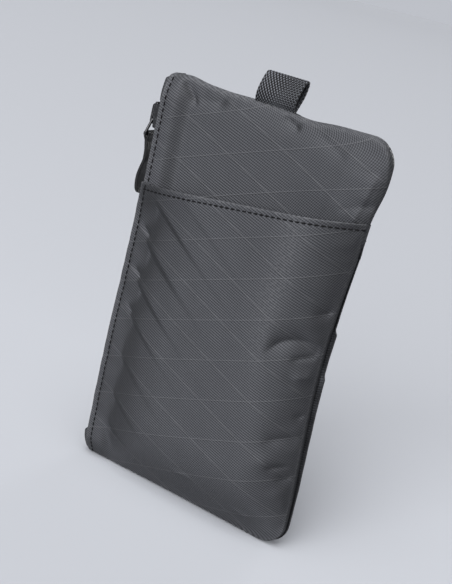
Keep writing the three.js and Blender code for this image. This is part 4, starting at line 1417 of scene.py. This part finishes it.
def tape_cloth():
    material, tree, shader = new_material("zip_tape_cloth")
    cloth = cloth_place(tree)
    slanting = ribs(tree, cloth, TWILL_ANGLE, TWILL_PITCH)
    twill = calc(tree, "MULTIPLY", slanting, ribs(tree, cloth, 90, TAPE_THREAD))
    shade = colour_mix(tree, twill, TAPE_DARK, TAPE_PALE)
    dust = between(tree, noise_value(tree, cloth, TAPE_DUST_SCALE), *TAPE_DUST_SHARE)
    paint(tree, shader, colour_mix(tree, dust, shade, TAPE_DUST))
    surface_settings(shader, Roughness=0.75, Sheen_Weight=0.2)
    bump(tree, shader, twill, TAPE_RELIEF)
    return material


def coil_nylon():
    material, tree, shader = new_material("zip_coil_nylon")
    dust = between(tree, noise_value(tree, object_place(tree), NYLON_DUST_SCALE), *NYLON_DUST_SHARE)
    paint(tree, shader, colour_mix(tree, dust, NYLON, NYLON_DUST), between(tree, dust, *NYLON_ROUGH))
    return material


def slider_metal():
    material, tree, shader = new_material("slider_metal")
    place = object_place(tree)
    rubbed = between(tree, noise_value(tree, place, RUB_SCALE, RUB_DETAIL), *RUB_SHARE)
    shade = colour_mix(tree, rubbed, METAL_DARK, METAL_RUBBED)
    paint(tree, shader, shade, blotches(tree, place, METAL_ROUGH_SCALE, *METAL_ROUGH))
    surface_settings(shader, Metallic=0.85, Coat_Weight=0.4, Coat_Roughness=0.12)
    bump(tree, shader, noise_value(tree, place, METAL_GRAIN_SCALE), METAL_RELIEF)
    return material


def strap_cloth():
    material, tree, shader = new_material("strap_cloth")
    cloth = cloth_place(tree)
    grain = plain_weave(tree, cloth, STRAP_THREAD)
    shade = colour_mix(tree, grain, STRAP_DARK, STRAP_PALE)
    paint(tree, shader, shade, blotches(tree, cloth, STRAP_ROUGH_SCALE, *STRAP_ROUGH))
    surface_settings(shader, Specular_IOR_Level=0.25)
    bump(tree, shader, grain, STRAP_RELIEF)
    return material


def webbing_cloth():
    material, tree, shader = new_material("loop_webbing_cloth")
    cloth = cloth_place(tree)
    part = add(tree, "ShaderNodeSeparateXYZ", {"Vector": cloth})
    across = calc(tree, "SINE", calc(tree, "MULTIPLY", part.outputs["X"], math.pi / (WEAVE_ACROSS * MM)))
    along = calc(tree, "SINE", calc(tree, "MULTIPLY", part.outputs["Y"], math.pi / (WEAVE_ALONG * MM)))
    over = calc(tree, "MULTIPLY", across, along)
    fibre = noise_value(tree, cloth, FIBRE_SCALE)
    # Painted shade in the hollows of the weave and painted light on its crowns
    shade = colour_mix(tree, between(tree, over, *WEB_CROWN_RANGE), WEB_HOLLOW_SHADE, WEB_CROWN_LIT)
    paint(tree, shader, colour_mix(tree, calc(tree, "MULTIPLY", fibre, FIBRE_SHOWS), shade, WEB_FIBRE))
    surface_settings(shader, Roughness=0.7, Specular_IOR_Level=0.2)
    bump(tree, shader, calc(tree, "MULTIPLY_ADD", fibre, FIBRE_HEIGHT, over), WEB_RELIEF)
    return material


def sewing_thread():
    material, tree, shader = new_material("sewing_thread")
    twist = ribs(tree, object_place(tree), THREAD_TWIST_ANGLE, THREAD_TWIST)
    paint(tree, shader, colour_mix(tree, twist, THREAD_DARK, THREAD_PALE))
    surface_settings(shader, Roughness=0.8, Specular_IOR_Level=0.1)
    bump(tree, shader, twist, THREAD_RELIEF)
    return material


def seen_directly(tree):
    """1 where the background is seen, also in metal, and 0 where it only throws light."""
    ray = add(tree, "ShaderNodeLightPath").outputs
    mirrored = calc(tree, "MAXIMUM", ray["Is Glossy Ray"], ray["Is Transmission Ray"])
    return calc(tree, "MAXIMUM", ray["Is Camera Ray"], mirrored)


def floor_paper():
    material, tree, shader = new_material("floor_paper")
    place = object_place(tree)
    # Painted shade: the floor's colour darkens towards the back and far out
    depth = add(tree, "ShaderNodeSeparateXYZ", {"Vector": place}).outputs["Y"]
    reach = add(tree, "ShaderNodeVectorMath", {0: place}, operation="LENGTH").outputs["Value"]
    distance = calc(tree, "MAXIMUM", depth, calc(tree, "SUBTRACT", reach, FLOOR_NEAR))
    away = calc(tree, "MAXIMUM", calc(tree, "SUBTRACT", distance, FLOOR_FALL_START), 0.0)
    fall = calc(tree, "LOGARITHM", calc(tree, "MULTIPLY_ADD", away, 1 / FLOOR_FALL_SCALE, 1.0), math.e)
    far = tuple(c * FAR_FLOOR_SHADE for c in FLOOR_COLOUR)
    faded = calc(tree, "MINIMUM", calc(tree, "DIVIDE", fall, FLOOR_FALL_SPAN), 1.0)
    shade = colour_mix(tree, faded, FLOOR_COLOUR, far)
    paint(tree, shader, colour_mix(tree, seen_directly(tree), FLOOR_BOUNCE, shade))
    surface_settings(shader, Roughness=1.0, Specular_IOR_Level=0.0)
    return material


# Stage

def floor(material):
    mesh = bpy.data.meshes.new("floor")
    square = ((-1, -1), (1, -1), (1, 1), (-1, 1))
    mesh.from_pydata([(x * FLOOR_REACH, y * FLOOR_REACH, 0) for x, y in square], [], [(0, 1, 2, 3)])
    mesh.materials.append(material)
    piece = bpy.data.objects.new("floor", mesh)
    bpy.context.scene.collection.objects.link(piece)


def camera():
    azimuth = math.radians(CAMERA_AZIMUTH)
    elevation = math.radians(CAMERA_ELEVATION)
    back = Vector((math.sin(azimuth) * math.cos(elevation), -math.cos(azimuth) * math.cos(elevation),
                   math.sin(elevation)))
    lens = bpy.data.cameras.new("camera")
    lens.lens = CAMERA_LENS
    lens.clip_start = CAMERA_CLIP
    view = bpy.data.objects.new("camera", lens)
    bpy.context.scene.collection.objects.link(view)
    level = (-back).to_track_quat("-Z", "Y").to_matrix()
    view.matrix_world = Matrix.Translation((Vector(CAMERA_TARGET) + back * CAMERA_DISTANCE) * MM) @ (
        level @ Matrix.Rotation(math.radians(CAMERA_ROLL), 3, "Z")).to_4x4()
    bpy.context.scene.camera = view


def lights():
    world = bpy.data.worlds.new("studio")
    world.use_nodes = True
    tree = world.node_tree
    sky = tree.nodes["Background"]
    tree.links.new(colour_mix(tree, seen_directly(tree), FILL, BACKDROP), sky.inputs["Color"])
    bpy.context.scene.world = world
    sun("key", KEY_TURN, KEY_RISE, KEY_ENERGY, KEY_SPREAD)
    sun("overhead", KEY_TURN, OVERHEAD_RISE, OVERHEAD_ENERGY, OVERHEAD_SPREAD)
    sun("back", BACK_TURN, BACK_RISE, BACK_ENERGY, BACK_SPREAD)


def sun(name, turn, rise, energy, spread):
    """A distant soft light, turned from the front towards +X and raised above the floor, in degrees."""
    light = bpy.data.lights.new(name, "SUN")
    light.energy = energy
    light.angle = math.radians(spread)
    holder = bpy.data.objects.new(name, light)
    holder.rotation_euler = (math.radians(90 - rise), 0, math.radians(turn))
    bpy.context.scene.collection.objects.link(holder)


def dress(piece, material, body, slot, *nodes):
    if material is not None:
        piece.data.materials.append(material)
    if body is not None:
        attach(piece, body)
    if nodes:
        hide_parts(*nodes)
    return piece


# The pouch, piece by piece

bpy.context.scene.view_settings.view_transform = "Standard"
shell, lining, tape, nylon = shell_cloth(), lining_cloth(), tape_cloth(), coil_nylon()
metal, strap, webbing, thread = slider_metal(), strap_cloth(), webbing_cloth(), sewing_thread()
coils, stitches = coil_tree(nylon), stitch_tree(thread)

dress(body_panel("front_body", FRONT), shell, "pouch", "shell", "front_body_panel")
dress(body_panel("back_body", BACK), shell, "pouch", "shell", "back_body_panel")
dress(pocket_panel("front_pocket", FRONT, front_mouth, front_pocket_surface, POCKET_EDGE_STEP),
      shell, "pouch", "shell", "front_pocket_panel")
dress(pocket_panel("back_pocket", BACK, back_mouth, back_pocket_surface, 0),
      shell, "pouch", "shell", "back_pocket_panel")
dress(lining_panel("front_lining", FRONT), lining, "pouch", "lining", "compartment_lining_front")
dress(lining_panel("back_lining", BACK), lining, "pouch", "lining", "compartment_lining_back")
dress(seam_strip(), shell, "pouch", "shell", "seam_allowance")
dress(pouch_stitches(stitches), None, "pouch", "shell")
for side, word in ((FRONT, "front"), (BACK, "back")):
    dress(zip_tape(f"tape_{word}", side), tape, "pouch", "zip_tape", f"zip_tape_{word}")
    coil = zip_coil(f"coil_{word}", side, coils, f"zip_coil_{word}")
    dress(coil, None, "pouch", "zip_coil", f"zip_coil_{word}")
for word, draw_in, taper in (("top", TOP_TAB_DRAW_IN, TOP_TAB_TAPER), ("bottom", BASE_TAB_DRAW_IN, 0.0)):
    tab = end_tab(f"tab_{word}", f"zip_end_tab_{word}", draw_in, taper)
    dress(tab, shell, "pouch", "shell", f"zip_end_tab_{word}")
dress(bevelled_copy("slider", "slider_body", SLIDER_BEVEL), metal, "slider", "slider_metal", "slider_body")
dress(bevelled_copy("bail", "slider_bail", BAIL_BEVEL), metal, "slider", "slider_metal", "slider_bail")
dress(pull_ring(), metal, "ring", "slider_metal", "pull_ring")
dress(pull_strap(), strap, "strap", "pull_strap", "pull_strap")
loop = dress(hang_loop(), webbing, None, "webbing", "top_loop", "loop_tail")
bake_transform(loop)
floor(floor_paper())
camera()
lights()
